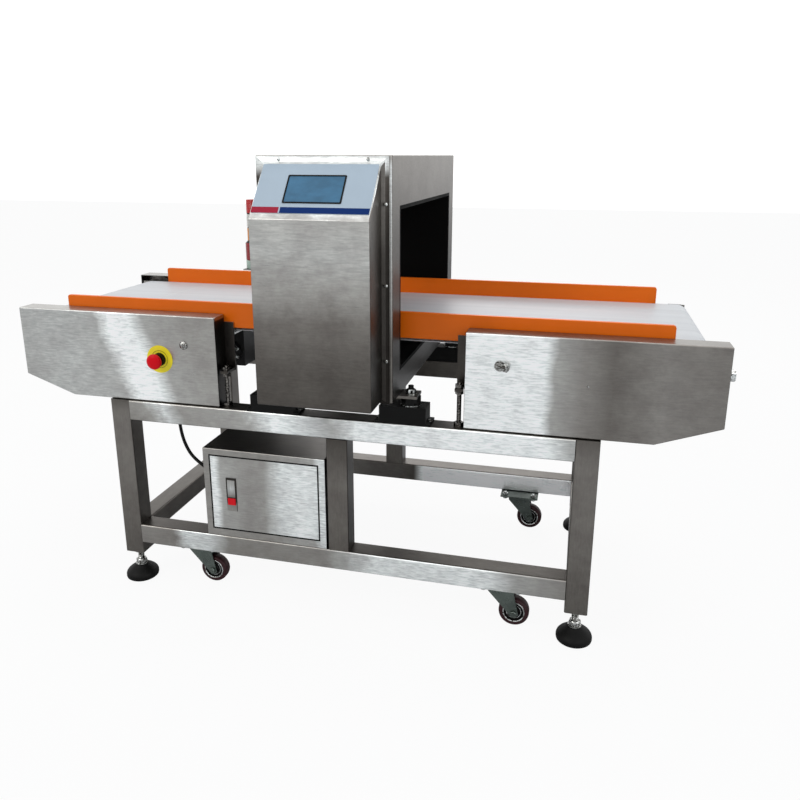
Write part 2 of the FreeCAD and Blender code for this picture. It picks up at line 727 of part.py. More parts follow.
def make_cover(label, inner, side_x, side_y, holes):
    """Five-sided cover of folded sheet, open at the back and closed all round its edge."""
    cover = body(label)
    depth = S.cover_front - S.cover_back
    outline = sketch(cover, "XZ_Plane", label + "_outline")
    corners = [(inner, S.cover_low), (S.cover_bevel, S.cover_low),
               (S.cover_outer, S.cover_shoulder), (S.cover_outer, S.cover_high),
               (inner, S.cover_high)]
    polygon(outline, [(side_x * across, up) for across, up in corners])
    blank = pad(cover, outline, depth, label + "_blank", back=side_y > 0)
    soften(cover, blank, S.cover_bend, label + "_bends",
           lambda edge: any(abs(vertex.Point.y) > 1 for vertex in edge.Vertexes))
    hollow = sketch(cover, "XZ_Plane", label + "_hollow")
    bevel = math.atan2(S.cover_shoulder.value - S.cover_low.value,
                       S.cover_outer.value - S.cover_bevel.value)
    wall = S.cover_sheet
    inset = [(inner + wall, S.cover_low + wall),
             (S.cover_bevel - wall * math.tan(bevel / 2), S.cover_low + wall),
             (S.cover_outer - wall, S.cover_shoulder + wall * math.tan(math.pi / 4 - bevel / 2)),
             (S.cover_outer - wall, S.cover_high - wall), (inner + wall, S.cover_high - wall)]
    polygon(hollow, [(side_x * across, up) for across, up in inset])
    pocket(cover, hollow, depth - wall, label + "_folded", back=side_y < 0)
    for i, (plane, across, up, radius) in enumerate(holes):
        drilling = sketch(cover, plane, "%s_hole_%d" % (label, i))
        circle(drilling, across, up, radius)
        length = 2 * S.cover_outer + 20 if plane == "YZ_Plane" else 200
        pocket(cover, drilling, length, "%s_bore_%d" % (label, i), middle=True)
    node(cover, label)
    place(cover, 0, side_y * S.cover_back, 0)


def make_covers():
    screw_y = WEB_OUTSIDE + S.tension_out - S.cover_back
    make_cover("cover_front_left", S.cover_inner, -1, -1,
               [("XZ_Plane", -S.estop_x, S.estop_z, 11.3)])
    make_cover("cover_front_right", S.cover_inner, 1, -1,
               [("YZ_Plane", -screw_y, S.tension_height, S.tension_radius + 0.5)])
    make_cover("cover_rear_left", S.rear_cover_inner, -1, 1, [])


# ---------------------------------------------------------------- drive

MOTOR_AXIS = S.output_z + S.worm_rise
GEAR_MIDDLE = (S.gearbox_front + S.gearbox_back) / 2


def make_gearmotor():
    """Worm gearbox hung from the cross ties, with its motor pointing to the left end."""
    x = -S.output_x
    half = 39
    case = box("GearCase", x - half, x + half, S.gearbox_front, S.gearbox_back,
               S.output_z - 38, S.tie_low)
    flange = cylinder("GearFlange", 30, 6, x, S.gearbox_front, S.output_z, TO_MINUS_Y)
    boss = cylinder("GearBoss", 22, 4, x, S.gearbox_back, S.output_z, TO_Y)
    bore = cylinder("GearBore", S.output_radius + S.play, 120, x, S.gearbox_front + 6, S.output_z, TO_Y)
    adapter = cylinder("MotorFlange", 44, 12, x - half - 12, GEAR_MIDDLE, MOTOR_AXIS, TO_X)
    motor = cylinder("MotorCase", S.motor_radius, 150, x - half - 160, GEAR_MIDDLE,
                     MOTOR_AXIS, TO_X)
    cowl = cylinder("FanCowl", S.motor_radius + 2, 34, x - half - 190, GEAR_MIDDLE,
                    MOTOR_AXIS, TO_X)
    terminals = box("TerminalBox", x - half - 120, x - half - 50, GEAR_MIDDLE - 72,
                    GEAR_MIDDLE - 30, MOTOR_AXIS - 35, MOTOR_AXIS + 35)
    unit = fuse("GearmotorCase", [case, flange, boss, adapter, motor, cowl, terminals])
    node(cut("Gearmotor", unit, [bore]), "gearmotor")


def sprocket(label, teeth, bore_radius):
    """Toothed wheel: a disc with a round seat for each chain roller, and its hub."""
    wheel = body(label)
    pitch_radius = S.chain_pitch.value / 2 / math.sin(math.pi / teeth)
    disc = sketch(wheel, "XZ_Plane", label + "_disc")
    circle(disc, 0, 0, pitch_radius + 3.2)
    circle(disc, 0, 0, bore_radius)
    pad(wheel, disc, 7, label + "_blank", middle=True)
    hub = sketch(wheel, "XZ_Plane", label + "_hub")
    circle(hub, 0, 0, pitch_radius - 7)
    circle(hub, 0, 0, bore_radius)
    pad(wheel, hub, 6.5, label + "_boss")
    seat = sketch(wheel, "XZ_Plane", label + "_seat")
    circle(seat, pitch_radius, 0, 4.5)
    gap = pocket(wheel, seat, 20, label + "_gap", middle=True)
    doc.recompute()
    teeth_ring = wheel.newObject("PartDesign::PolarPattern", label + "_teeth")
    teeth_ring.Originals = [gap]
    axis = [item for item in wheel.Origin.OriginFeatures if item.Role == "Y_Axis"][0]
    teeth_ring.Axis = (axis, [""])
    teeth_ring.Angle = 360
    teeth_ring.Occurrences = teeth
    wheel.Tip = teeth_ring
    return wheel


def make_sprockets():
    roller_wheel = sprocket("roller_sprocket", int(S.roller_teeth.value),
                            S.shaft_radius.value)
    node(roller_wheel, "roller_sprocket")
    place(roller_wheel, -S.roller_centre, S.chain_y, ROLLER_AXIS)
    motor_wheel = sprocket("MotorWheel", int(S.motor_teeth.value), 8.0)
    place(motor_wheel, -S.output_x, S.chain_y, S.output_z)
    shaft = cylinder("OutputShaft", S.output_radius, S.chain_y + 8 - (S.gearbox_front + 8), -S.output_x,
                     S.gearbox_front + 8, S.output_z, TO_Y)
    node(fuse("MotorSprocket", [motor_wheel, shaft]), "output_shaft_and_sprocket")


def chain_wire(grow):
    """Closed path round both sprockets on the pitch line; grow moves it outwards."""
    first = (-S.roller_centre.value, ROLLER_AXIS.value)
    second = (-S.output_x.value, S.output_z.value)
    radii = [S.chain_pitch.value / 2 / math.sin(math.pi / teeth.value) + grow
             for teeth in (S.roller_teeth, S.motor_teeth)]
    run = (second[0] - first[0], second[1] - first[1])
    distance = math.hypot(*run)
    lean = math.atan2(run[1], run[0])
    swing = math.acos((radii[0] - radii[1]) / distance)

    def on(centre, radius, angle):
        return Vector(centre[0] + radius * math.cos(angle), 0,
                      centre[1] + radius * math.sin(angle))

    top, low = lean + swing, lean - swing
    a, b = on(first, radii[0], top), on(second, radii[1], top)
    c, d = on(second, radii[1], low), on(first, radii[0], low)
    return Part.Wire([
        Part.LineSegment(a, b).toShape(),
        Part.Arc(b, on(second, radii[1], lean), c).toShape(),
        Part.LineSegment(c, d).toShape(),
        Part.Arc(d, on(first, radii[0], lean + math.pi), a).toShape()]), (a, b, c, d)


def make_chain():
    """Roller chain: two side bands of link plates, with rollers across the straight runs."""
    outer, _ = chain_wire(5.0)
    inner, _ = chain_wire(-5.0)
    face = Part.Face([outer, inner])
    face.validate()
    band = 1.4
    bands = [face.extrude(Vector(0, band, 0)) for _ in range(2)]
    bands[0].translate(Vector(0, -4 - band, 0))
    bands[1].translate(Vector(0, 4, 0))
    _, (a, b, c, d) = chain_wire(0)
    rollers = []
    for start, end in ((a, b), (c, d)):
        run = end - start
        count = int(run.Length / S.chain_pitch.value)
        for i in range(2, count - 1):
            centre = start + run * (i / count)
            rollers.append(Part.makeCylinder(3.6, 8.4, centre + Vector(0, -4.2, 0), Vector(0, 1, 0)))
    chain = doc.addObject("Part::Feature", "Chain")
    chain.Shape = bands[0].multiFuse([bands[1]] + rollers)
    place(chain, 0, S.chain_y, 0)
    node(chain, "drive_chain")


# ---------------------------------------------------------------- detector head

HEAD_FRONT = -S.head_depth / 2
HEAD_LEFT = S.head_x - S.head_length / 2
HEAD_RIGHT = S.head_x + S.head_length / 2


def make_head():
    """Hollow welded housing round the tunnel, with four foot lugs."""
    wall = S.head_sheet
    back = -HEAD_FRONT
    half = S.tunnel_width / 2
    outer = box("HeadOuter", HEAD_LEFT, HEAD_RIGHT, HEAD_FRONT, back, S.head_low, S.head_high)
    tunnel = box("HeadTunnel", HEAD_LEFT - 1, HEAD_RIGHT + 1, -half, half,
                 S.tunnel_low, S.tunnel_high)
    inside = box("HeadInside", HEAD_LEFT + wall, HEAD_RIGHT - wall, HEAD_FRONT + wall,
                 back - wall, S.head_low + wall, S.head_high - wall)
    sleeve = box("HeadSleeve", HEAD_LEFT - 2, HEAD_RIGHT + 2, -half - wall, half + wall,
                 S.tunnel_low - wall, S.tunnel_high + wall)
    cavity = cut("HeadCavity", inside, [sleeve])
    shell = cut("HeadShell", rounded_box("HeadFolded", outer, S.head_bend), [tunnel, cavity])
    parts = [shell]
    for side_x, face in ((-1, HEAD_LEFT), (1, HEAD_RIGHT)):
        for side_y in (-1, 1):
            tip = side_x * (S.mount_bolt + 18)
            root = face - side_x * 25
            low, high = (tip, root) if side_x < 0 else (root, tip)
            lug = box("HeadLug%d%d" % (side_x + 1, side_y + 1), low, high,
                      side_y * S.mount_y - 24, side_y * S.mount_y + 24,
                      S.head_low - S.lug_sheet, S.head_low)
            hole = cylinder("HeadLugHole%d%d" % (side_x + 1, side_y + 1), 6.3, 20,
                            side_x * S.mount_bolt, side_y * S.mount_y, S.head_low - 12)
            parts.append(cut("HeadFoot%d%d" % (side_x + 1, side_y + 1), lug, [hole]))
    node(fuse("HeadHousing", parts), "head_housing")


def make_liner():
    half = S.tunnel_width / 2
    outer = box("LinerOuter", HEAD_LEFT, HEAD_RIGHT, -half, half, S.tunnel_low, S.tunnel_high)
    inner = box("LinerInner", HEAD_LEFT - 1, HEAD_RIGHT + 1, -half + S.liner, half - S.liner,
                S.tunnel_low + S.liner, S.tunnel_high - S.liner)
    node(cut("Liner", outer, [inner]), "tunnel_liner")


def make_head_mounts():
    """Rubber blocks on foot plates, with a steel cup and a bolt up through the head's lugs."""
    mounts = []
    half_x, half_y = S.mount_length / 2, S.mount_width / 2
    rail = S.upper_rail_top
    block_top = rail + S.mount_height
    lug_low = S.head_low - S.lug_sheet
    for side_x in (-1, 1):
        for side_y in (-1, 1):
            name = "Mount%d%d" % (side_x + 1, side_y + 1)
            x, y = side_x * S.mount_x, side_y * S.mount_y
            bolt_x = side_x * S.mount_bolt
            plate = box(name + "Plate", x - S.mount_foot / 2, x + S.mount_foot / 2,
                        y - half_y, y + half_y, rail, rail + S.mount_plate)
            block = box(name + "Block", x - half_x, x + half_x, y - half_y, y + half_y,
                        rail + S.mount_plate, block_top)
            cup = cylinder(name + "Cup", S.mount_cup, lug_low - block_top, bolt_x, y, block_top)
            stem = cylinder(name + "Stem", S.mount_stem, 26, bolt_x, y, lug_low - 2)
            nut = hexagon(name + "Nut", 19, 9, bolt_x, y, S.head_low)
            mounts.append(fuse(name, [plate, block, cup, stem, nut]))
    node(group("HeadMounts", mounts), "head_mounts")


CONTROL_FRONT = HEAD_FRONT - S.control_depth
CONTROL_HALF = S.control_width / 2


def make_control_box():
    """Sheet box with a slanted operator face and a flange screwed to the head's front."""
    control = body("ControlBox")
    depth = S.control_depth
    low = S.control_low
    profile = sketch(control, "YZ_Plane", "ControlSection")
    polygon(profile, [(0, low), (0, S.control_back_high), (-depth, S.control_front_high),
                      (-depth, low)])
    blank = pad(control, profile, S.control_width, "ControlBlank", middle=True)
    soften(control, blank, S.control_bend, "ControlBends",
           lambda edge: any(abs(vertex.Point.y) > 1 for vertex in edge.Vertexes))
    wall = S.control_sheet
    lean = math.atan2((S.control_back_high - S.control_front_high).value, depth.value)
    drop = wall / math.cos(lean)
    front_high = S.control_front_high - drop + wall * math.tan(lean)
    hollow = sketch(control, "YZ_Plane", "ControlHollow")
    polygon(hollow, [(0, low + wall), (0, S.control_back_high - drop),
                     (-depth + wall, front_high), (-depth + wall, low + wall)])
    pocket(control, hollow, S.control_width - wall * 2, "ControlShell", middle=True)
    rim = sketch(control, "XZ_Plane", "ControlFlange")
    half = S.control_flange_width / 2
    rectangle(rim, -half, half, S.head_low, S.control_flange_high)
    inner = CONTROL_HALF - wall
    rectangle(rim, -inner, inner, low + wall, S.control_back_high - 3 * wall)
    pad(control, rim, wall, "ControlRim")
    node(control, "control_box")
    place(control, S.control_x, HEAD_FRONT, 0)


def make_display_panel():
    """Operator panel on the slanted face: a stiff film with the screen's raised bezel."""
    rise = S.control_back_high - S.control_front_high
    slope = math.degrees(math.atan2(rise.value, S.control_depth.value))
    panel = body("DisplayPanel")
    film = sketch(panel, "XY_Plane", "PanelFilm")
    rectangle(film, -S.film_half, S.film_half, S.film_low, S.film_high)
    pad(panel, film, 1, "PanelSheet")
    bezel = sketch(panel, "XY_Plane", "PanelBezel")
    rectangle(bezel, -S.screen_half, S.screen_half, S.screen_low, S.screen_high)
    pad(panel, bezel, 2, "PanelScreen")
    node(panel, "display_panel")
    place(panel, S.control_x, CONTROL_FRONT, S.control_front_high,
          Rotation(Vector(1, 0, 0), slope))


def make_alarm_lamp():
    """Small stack lamp on a folded bracket at the head's infeed face."""
    lamp = body("AlarmLamp")
    radius, upper = S.lamp_radius, S.lamp_upper_radius
    profile = sketch(lamp, "XZ_Plane", "LampProfile")
    polygon(profile, [
        (0, 0), (radius, 0), (radius, S.lamp_step - 3), (upper, S.lamp_step),
        (upper, S.lamp_height - 6), (upper - 6, S.lamp_height), (0, S.lamp_height)])
    revolve(lamp, profile, "LampTurned")
    shelf = sketch(lamp, "XY_Plane", "LampShelf")
    reach = HEAD_LEFT + S.lamp_x
    rectangle(shelf, -radius, reach, -radius, radius)
    pad(lamp, shelf, S.lamp_shelf, "LampBracket", back=True)
    wall = sketch(lamp, "XZ_Plane", "LampWall")
    rectangle(wall, reach - S.lamp_shelf, reach, -S.lamp_bracket, 0)
    pad(lamp, wall, radius * 2, "LampFlange", middle=True)
    node(lamp, "alarm_lamp")
    place(lamp, -S.lamp_x, S.lamp_y, S.lamp_low)


# ---------------------------------------------------------------- emergency stop

def make_emergency_stop():
    front = -S.cover_front
    x, z = -S.estop_x, S.estop_z
    label = cylinder("StopLabel", 33, 1, x, front, z, TO_MINUS_Y)
    collar = cylinder("StopCollar", 15, 13, x, front, z, TO_MINUS_Y)
    stem = cylinder("StopStem", 11, 30, x, front + 30, z, TO_MINUS_Y)
    block = box("StopBlock", x - 15, x + 15, front + 8, front + 40, z - 20, z + 20)
    nut = cylinder("StopNut", 14, 4, x, front + S.cover_sheet + 4, z, TO_MINUS_Y)
    bore = cylinder("StopBore", S.stop_stem + S.play, 60, x, front - 40 + 60 - 2, z, TO_MINUS_Y)
    unit = fuse("StopUnit", [label, collar, stem, block, nut])
    node(cut("StopBase", unit, [bore]), "emergency_stop_base")
    button = body("StopButton")
    profile = sketch(button, "YZ_Plane", "ButtonProfile")
    polygon(profile, [(0, 0), (S.stop_stem, 0), (S.stop_stem, 20), (14, 20), (20, 25), (20, 29),
                      (14, 34), (0, 36)])
    revolve(button, profile, "ButtonTurned", axis="V_Axis")
    node(button, "emergency_stop_button")
    place(button, x, front + 0.5, z, TO_MINUS_Y)


# ---------------------------------------------------------------- electric cabinet

CABINET_FRONT = -HALF_DEPTH
CABINET_BACK = CABINET_FRONT + S.cabinet_depth


def make_cabinet_shell():
    left, right = -S.cabinet_left, -S.cabinet_right
    low, high = S.lower_rail_top, S.cabinet_high
    wall = S.cabinet_sheet
    outer = box("CabinetOuter", left, right, CABINET_FRONT, CABINET_BACK, low, high)
    inner = box("CabinetInner", left + wall, right - wall, CABINET_FRONT + wall,
                CABINET_BACK - wall, low + wall, high - wall)
    opening = box("CabinetOpening", -S.door_left - S.door_gap, -S.door_right + S.door_gap,
                  CABINET_FRONT - 1, CABINET_FRONT + 10, S.door_low - S.door_gap,
                  S.door_high + S.door_gap)
    gland_hole = cylinder("CabinetGlandHole", 8.2, 20, left - 10, GLAND_Y, GLAND_Z, TO_X)
    case = rounded_box("CabinetFolded", outer, S.cabinet_bend)
    shell = cut("CabinetCase", case, [inner, opening, gland_hole])
    pivots = []
    for name, seat, side in (("Low", S.door_low - S.door_gap, -1),
                             ("High", S.door_high + S.door_gap, 1)):
        tab_low, tab_high = (seat - 6, seat) if side < 0 else (seat, seat + 6)
        pivots.append(box("PivotTab" + name, PIVOT_X - 5, PIVOT_X + 5, CABINET_FRONT + wall,
                          PIVOT_Y + 4, tab_low, tab_high))
        pin_low = seat if side < 0 else seat - 6
        pivots.append(cylinder("PivotPin" + name, S.pivot_radius, 6, PIVOT_X, PIVOT_Y, pin_low))
    node(fuse("CabinetShell", [shell] + pivots), "cabinet_shell")


GLAND_Y = -245
GLAND_Z = 300
PIVOT_X = -S.door_right - 3.5
PIVOT_Y = CABINET_FRONT + 3.5


def make_cabinet_door():
    """Pan-shaped door with a window for the latch."""
    left, right = -S.door_left, -S.door_right
    front = CABINET_FRONT
    outer = box("DoorOuter", left, right, front, front + S.door_depth, S.door_low, S.door_high)
    inner = box("DoorInner", left + 1.5, right - 1.5, front + 1.5, front + S.door_depth + 1,
                S.door_low + 1.5, S.door_high - 1.5)
    window = box("DoorWindow", LATCH_X - 12, LATCH_X + 12, front - 1, front + 3,
                 LATCH_LOW + 2, LATCH_HIGH - 2)
    pivot_hole = cylinder("DoorPivotHole", S.pivot_radius + S.play,
                          S.door_high - S.door_low + 20, PIVOT_X, PIVOT_Y, S.door_low - 10)
    pan = cut("DoorPan", outer, [inner, window])
    sleeves = [box("PivotSleeve%d" % i, right - 8, right - 0.5, front + 0.5, front + 8, low, low + 6)
               for i, low in enumerate((S.door_low, S.door_high - 6))]
    node(cut("CabinetDoor", fuse("DoorLeaf", [pan] + sleeves), [pivot_hole]), "cabinet_door")


LATCH_X = -265
LATCH_LOW = 222
LATCH_HIGH = 307


def make_latch():
    """Flush latch: a housing in the door, a flap handle above and a push button below."""
    front = CABINET_FRONT
    rim = box("LatchRim", LATCH_X - 13, LATCH_X + 13, front - 1.5, front, LATCH_LOW, LATCH_HIGH)
    well = box("LatchWell", LATCH_X - 11.8, LATCH_X + 11.8, front - 1.5, front + 16,
               LATCH_LOW + 2.2, LATCH_HIGH - 2.2)
    handle_pit = box("LatchPit", LATCH_X - 10, LATCH_X + 10, front - 3, front + 10,
                     257, LATCH_HIGH - 4)
    button_pit = box("LatchButtonPit", LATCH_X - 10, LATCH_X + 10, front - 3, front + 12,
                     238, 255.4)
    pin_y = front + 0.5
    pin_hole = cylinder("LatchPinHole", 1.5 + S.play, 22.6, LATCH_X - 11.3, pin_y, 299, TO_X)
    housing = fuse("LatchBlock", [rim, well])
    node(cut("LatchHousing", housing, [handle_pit, button_pit, pin_hole]), "latch_housing")
    flap = box("LatchFlap", LATCH_X - 9.5, LATCH_X + 9.5, front - 2, front + 3, 258, 302)
    pin = cylinder("LatchPin", 1.5, 22.2, LATCH_X - 11.1, pin_y, 299, TO_X)
    node(fuse("LatchHandle", [flap, pin]), "latch_handle")
    button = box("LatchButton", LATCH_X - 9.9, LATCH_X + 9.9, front - 3.5, front + 6,
                 238.1, 255.3)
    node(button, "latch_button")


def make_inverter():
    """Motor inverter on the cabinet's back wall."""
    wall = CABINET_BACK - S.cabinet_sheet
    body_block = box("InverterBody", -230, -130, wall - 120, wall, 190, 330)
    fins = [box("InverterFin%d" % i, -228 + i * 14, -224 + i * 14, wall - 100, wall - 10, 330, 338)
            for i in range(7)]
    node(fuse("Inverter", [body_block] + fins), "drive_inverter")


# ---------------------------------------------------------------- motor lead

LEAD_RADIUS = 4


GLAND_LENGTH = 14

# points of the lead's route, from the motor's terminal box to the cabinet's left wall;
# the first and last are the middles of the two glands' swivelling necks
LEAD_POINTS = [
    (-513, 25, 540), (-509, -60, 538), (-487, -130, 520), (-457, -181, 485),
    (-441, -205, 440), (-431, -219, 393), (-414, -232, 357), (-387, -242, 325),
    (-343, GLAND_Y, GLAND_Z)]


def make_glands():
    """Cable glands: a hexagon on the wall, a ball, and a neck along the lead."""
    glands = []
    for name, point, following, wall, turn in (
            ("MotorGland", LEAD_POINTS[0], LEAD_POINTS[1], (-513, 33, 540), TO_MINUS_Y),
            ("CabinetGland", LEAD_POINTS[-1], LEAD_POINTS[-2], (-335, GLAND_Y, GLAND_Z),
             Rotation(Vector(0, 1, 0), -90))):
        nut = hexagon(name + "Hex", 20, 6, *wall, turn)
        along = Rotation(Vector(0, 0, 1), Vector(*following) - Vector(*point))
        ball = doc.addObject("Part::Sphere", name + "Ball")
        ball.Radius = 7.8
        place(ball, *point, along)
        neck = cylinder(name + "Neck", 6.4, GLAND_LENGTH, *point, along)
        glands.append(fuse(name, [nut, ball, neck]))
    node(group("CableGlands", glands), "cable_glands")


def lead_shape():
    """Straight runs joined by tangent arcs, each arc as large as its two runs allow."""
    points = [Vector(*point) for point in LEAD_POINTS]
    for end, following in ((0, 1), (-1, -2)):
        along = (points[following] - points[end]).normalize()
        points[end] = points[end] + along * (GLAND_LENGTH + 0.2)
    edges, length, start = [], 0.0, points[0]
    for before, corner, after in zip(points, points[1:], points[2:]):
        incoming, outgoing = (corner - before), (after - corner)
        shorter = min(incoming.Length, outgoing.Length)
        incoming.normalize()
        outgoing.normalize()
        turn = incoming.getAngle(outgoing)
        setback = 0.45 * shorter
        radius = setback / math.tan(turn / 2)
        print("lead arc radius %.1f mm" % radius)
        first = corner - incoming * setback
        last = corner + outgoing * setback
        bisector = (outgoing - incoming).normalize()
        middle = corner + bisector * (radius / math.cos(turn / 2) - radius)
        edges.append(Part.LineSegment(start, first).toShape())
        edges.append(Part.Arc(first, middle, last).toShape())
        length += (first - start).Length + radius * turn
        start = last
    edges.append(Part.LineSegment(start, points[-1]).toShape())
    length += (points[-1] - start).Length
    path = Part.Wire(edges)
    ring = Part.Wire([Part.Circle(points[0], (points[1] - points[0]), LEAD_RADIUS).toShape()])
    tube = path.makePipeShell([ring], True, True)
    expected = math.pi * LEAD_RADIUS ** 2 * length
    print("lead length %.0f mm, volume %.4f of section times length"
          % (length, tube.Volume / expected))
    return tube


def make_lead():
    lead = doc.addObject("Part::Feature", "MotorLead")
    lead.Shape = lead_shape()
    place(lead)
    node(lead, "motor_lead")


# ---------------------------------------------------------------- build and write

make_stand()
make_running_gear()
make_side_plates()
make_support_studs()
make_cross_ties()
make_guard("guard_front", -1)
make_guard("guard_rear", 1)
make_bed_plate()
make_belt()
make_rollers()
make_bearings()
make_tension_screws()
make_covers()
make_gearmotor()
make_sprockets()
make_chain()
make_head()
make_liner()
make_head_mounts()
make_control_box()
make_display_panel()
make_alarm_lamp()
make_emergency_stop()
make_cabinet_shell()
make_cabinet_door()
make_latch()
make_inverter()
make_glands()
make_lead()

doc.recompute()
for feature in doc.Objects:
    if {"Invalid", "Error"} & set(feature.State):
        raise RuntimeError("%s failed: %s" % (feature.Label, feature.State))
for feature in NODES:
    if feature.Shape.isNull() or not feature.Shape.isValid() or not feature.Shape.Solids:
        raise RuntimeError("%s has no valid solid" % feature.Label)

os.makedirs("parts", exist_ok=True)
for feature in NODES:
    feature.Shape.exportStep(os.path.join("parts", feature.Label + ".step"))
print("%d sub-parts written" % len(NODES))
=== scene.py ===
"""Conveyor metal detector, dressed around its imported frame.

Laid out as an add-on: a property group holds the sizes and colours, one operator makes each
group of pieces, and a panel lists them. Lengths in the helpers are millimetres from the middle
of the welded stand, with X along the belt, Y away from the operator and Z up from its datum,
which lies 5 mm above the floor.
"""

import json
import math

import bmesh
import bpy
from bpy.props import FloatProperty, FloatVectorProperty
from mathutils import Matrix, Vector

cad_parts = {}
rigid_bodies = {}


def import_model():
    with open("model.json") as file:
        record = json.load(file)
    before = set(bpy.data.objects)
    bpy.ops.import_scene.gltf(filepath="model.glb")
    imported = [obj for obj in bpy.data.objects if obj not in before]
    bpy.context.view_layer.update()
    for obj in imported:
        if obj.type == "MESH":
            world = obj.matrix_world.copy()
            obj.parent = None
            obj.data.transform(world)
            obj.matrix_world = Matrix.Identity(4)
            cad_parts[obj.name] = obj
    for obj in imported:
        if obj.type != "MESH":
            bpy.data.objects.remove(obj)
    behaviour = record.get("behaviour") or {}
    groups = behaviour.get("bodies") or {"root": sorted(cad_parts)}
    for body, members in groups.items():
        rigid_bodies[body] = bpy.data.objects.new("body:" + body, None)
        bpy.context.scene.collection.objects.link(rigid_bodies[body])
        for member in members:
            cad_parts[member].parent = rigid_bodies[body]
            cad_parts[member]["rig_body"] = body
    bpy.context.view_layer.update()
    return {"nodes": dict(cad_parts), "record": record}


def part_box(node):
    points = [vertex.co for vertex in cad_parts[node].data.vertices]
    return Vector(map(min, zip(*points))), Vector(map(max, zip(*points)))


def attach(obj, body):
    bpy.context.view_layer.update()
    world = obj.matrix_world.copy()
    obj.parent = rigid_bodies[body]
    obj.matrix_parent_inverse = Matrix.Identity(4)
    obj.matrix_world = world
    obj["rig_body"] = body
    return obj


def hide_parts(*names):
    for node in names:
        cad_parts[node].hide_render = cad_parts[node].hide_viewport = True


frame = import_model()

bl_info = {
    "name": "Conveyor metal detector",
    "version": (1, 0, 0),
    "blender": (4, 5, 0),
    "location": "View3D > Sidebar > Detector",
    "description": "Builds the visible pieces of a conveyor metal detector around its frame",
    "category": "Object",
}

MM = 0.001


def middle_of(node):
    low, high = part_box(node)
    return (low + high) / 2


STAND = middle_of("bottom_rails")
STAND.z = 0.005


def at(x, y, z):
    """A point given in millimetres from the middle of the stand, in the frame's metres."""
    return STAND + Vector((x, y, z)) * MM


# ---------------------------------------------------------------- sizes and colours


def colour(name, description, value):
    return FloatVectorProperty(name=name, description=description, subtype="COLOR",
                               size=3, min=0.0, max=1.0, default=value)


def length(name, description, value):
    return FloatProperty(name=name, description=description, default=value,
                         unit="LENGTH", min=0.0)


class DetectorColours(bpy.types.PropertyGroup):
    """Colours of the finishes"""
    # These casts colour the painted reflections of brushed steel: cool where it is painted bright,
    # brown where it is painted dark as shade and as the reflected dark room.
    steel: colour("Steel", "Cast of the brushed steel where it is bright", (0.96, 1.0, 0.99))
    steel_dark: colour("Steel, dark", "Cast of the brushed steel where it is dark",
                       (1.0, 0.90, 0.80))
    guard: colour("Guard", "Orange product guides", (0.90, 0.165, 0.004))
    belt: colour("Belt", "Coated belt", (0.60, 0.615, 0.63))
    bed: colour("Bed", "White slider bed", (0.80, 0.80, 0.78))
    black: colour("Black", "Moulded black plastic and rubber", (0.004, 0.004, 0.0038))
    tread: colour("Tread", "Caster tread", (0.030, 0.006, 0.008))
    zinc: colour("Zinc", "Zinc-plated pressings", (0.15, 0.175, 0.16))
    panel: colour("Panel film", "Operator panel film", (0.47, 0.565, 0.655))
    panel_red: colour("Panel red", "Short bar of the panel film", (0.40, 0.022, 0.05))
    panel_blue: colour("Panel blue", "Long bar of the panel film", (0.0, 0.026, 0.15))
    screen: colour("Screen", "Unlit touch screen", (0.045, 0.145, 0.25))
    stop_yellow: colour("Stop yellow", "Emergency stop label", (1.0, 0.84, 0.03))
    stop_red: colour("Stop red", "Emergency stop mushroom", (0.72, 0.002, 0.010))
    # Nearly black: the gearmotor's paint, darkened to its look in the shade under the belt, so
    # partly painted shade.
    motor: colour("Motor", "Painted gearmotor", (0.010, 0.010, 0.010))


class DetectorSizes(bpy.types.PropertyGroup):
    """Sizes of what is added to the frame"""
    lead_diameter: length("Lead", "Diameter of the motor lead", 0.008)


# ---------------------------------------------------------------- shader maths


class Link:
    """Wraps a node's output, so that maths on it reads as an expression."""

    def __init__(self, finish, socket):
        self.finish = finish
        self.socket = socket

    def maths(self, operation, *values):
        return self.finish.node("ShaderNodeMath", {"operation": operation}, *values)

    def size(self):
        return self.maths("ABSOLUTE", self)

    def __add__(self, other):
        return self.maths("ADD", self, other)

    def __sub__(self, other):
        return self.maths("SUBTRACT", self, other)

    def __mul__(self, other):
        return self.maths("MULTIPLY", self, other)

    def above(self, level):
        return self.maths("GREATER_THAN", self, level)

    def mapped(self, low, high, to_low=0.0, to_high=1.0):
        return self.finish.node("ShaderNodeMapRange", {"clamp": True},
                                self, low, high, to_low, to_high)


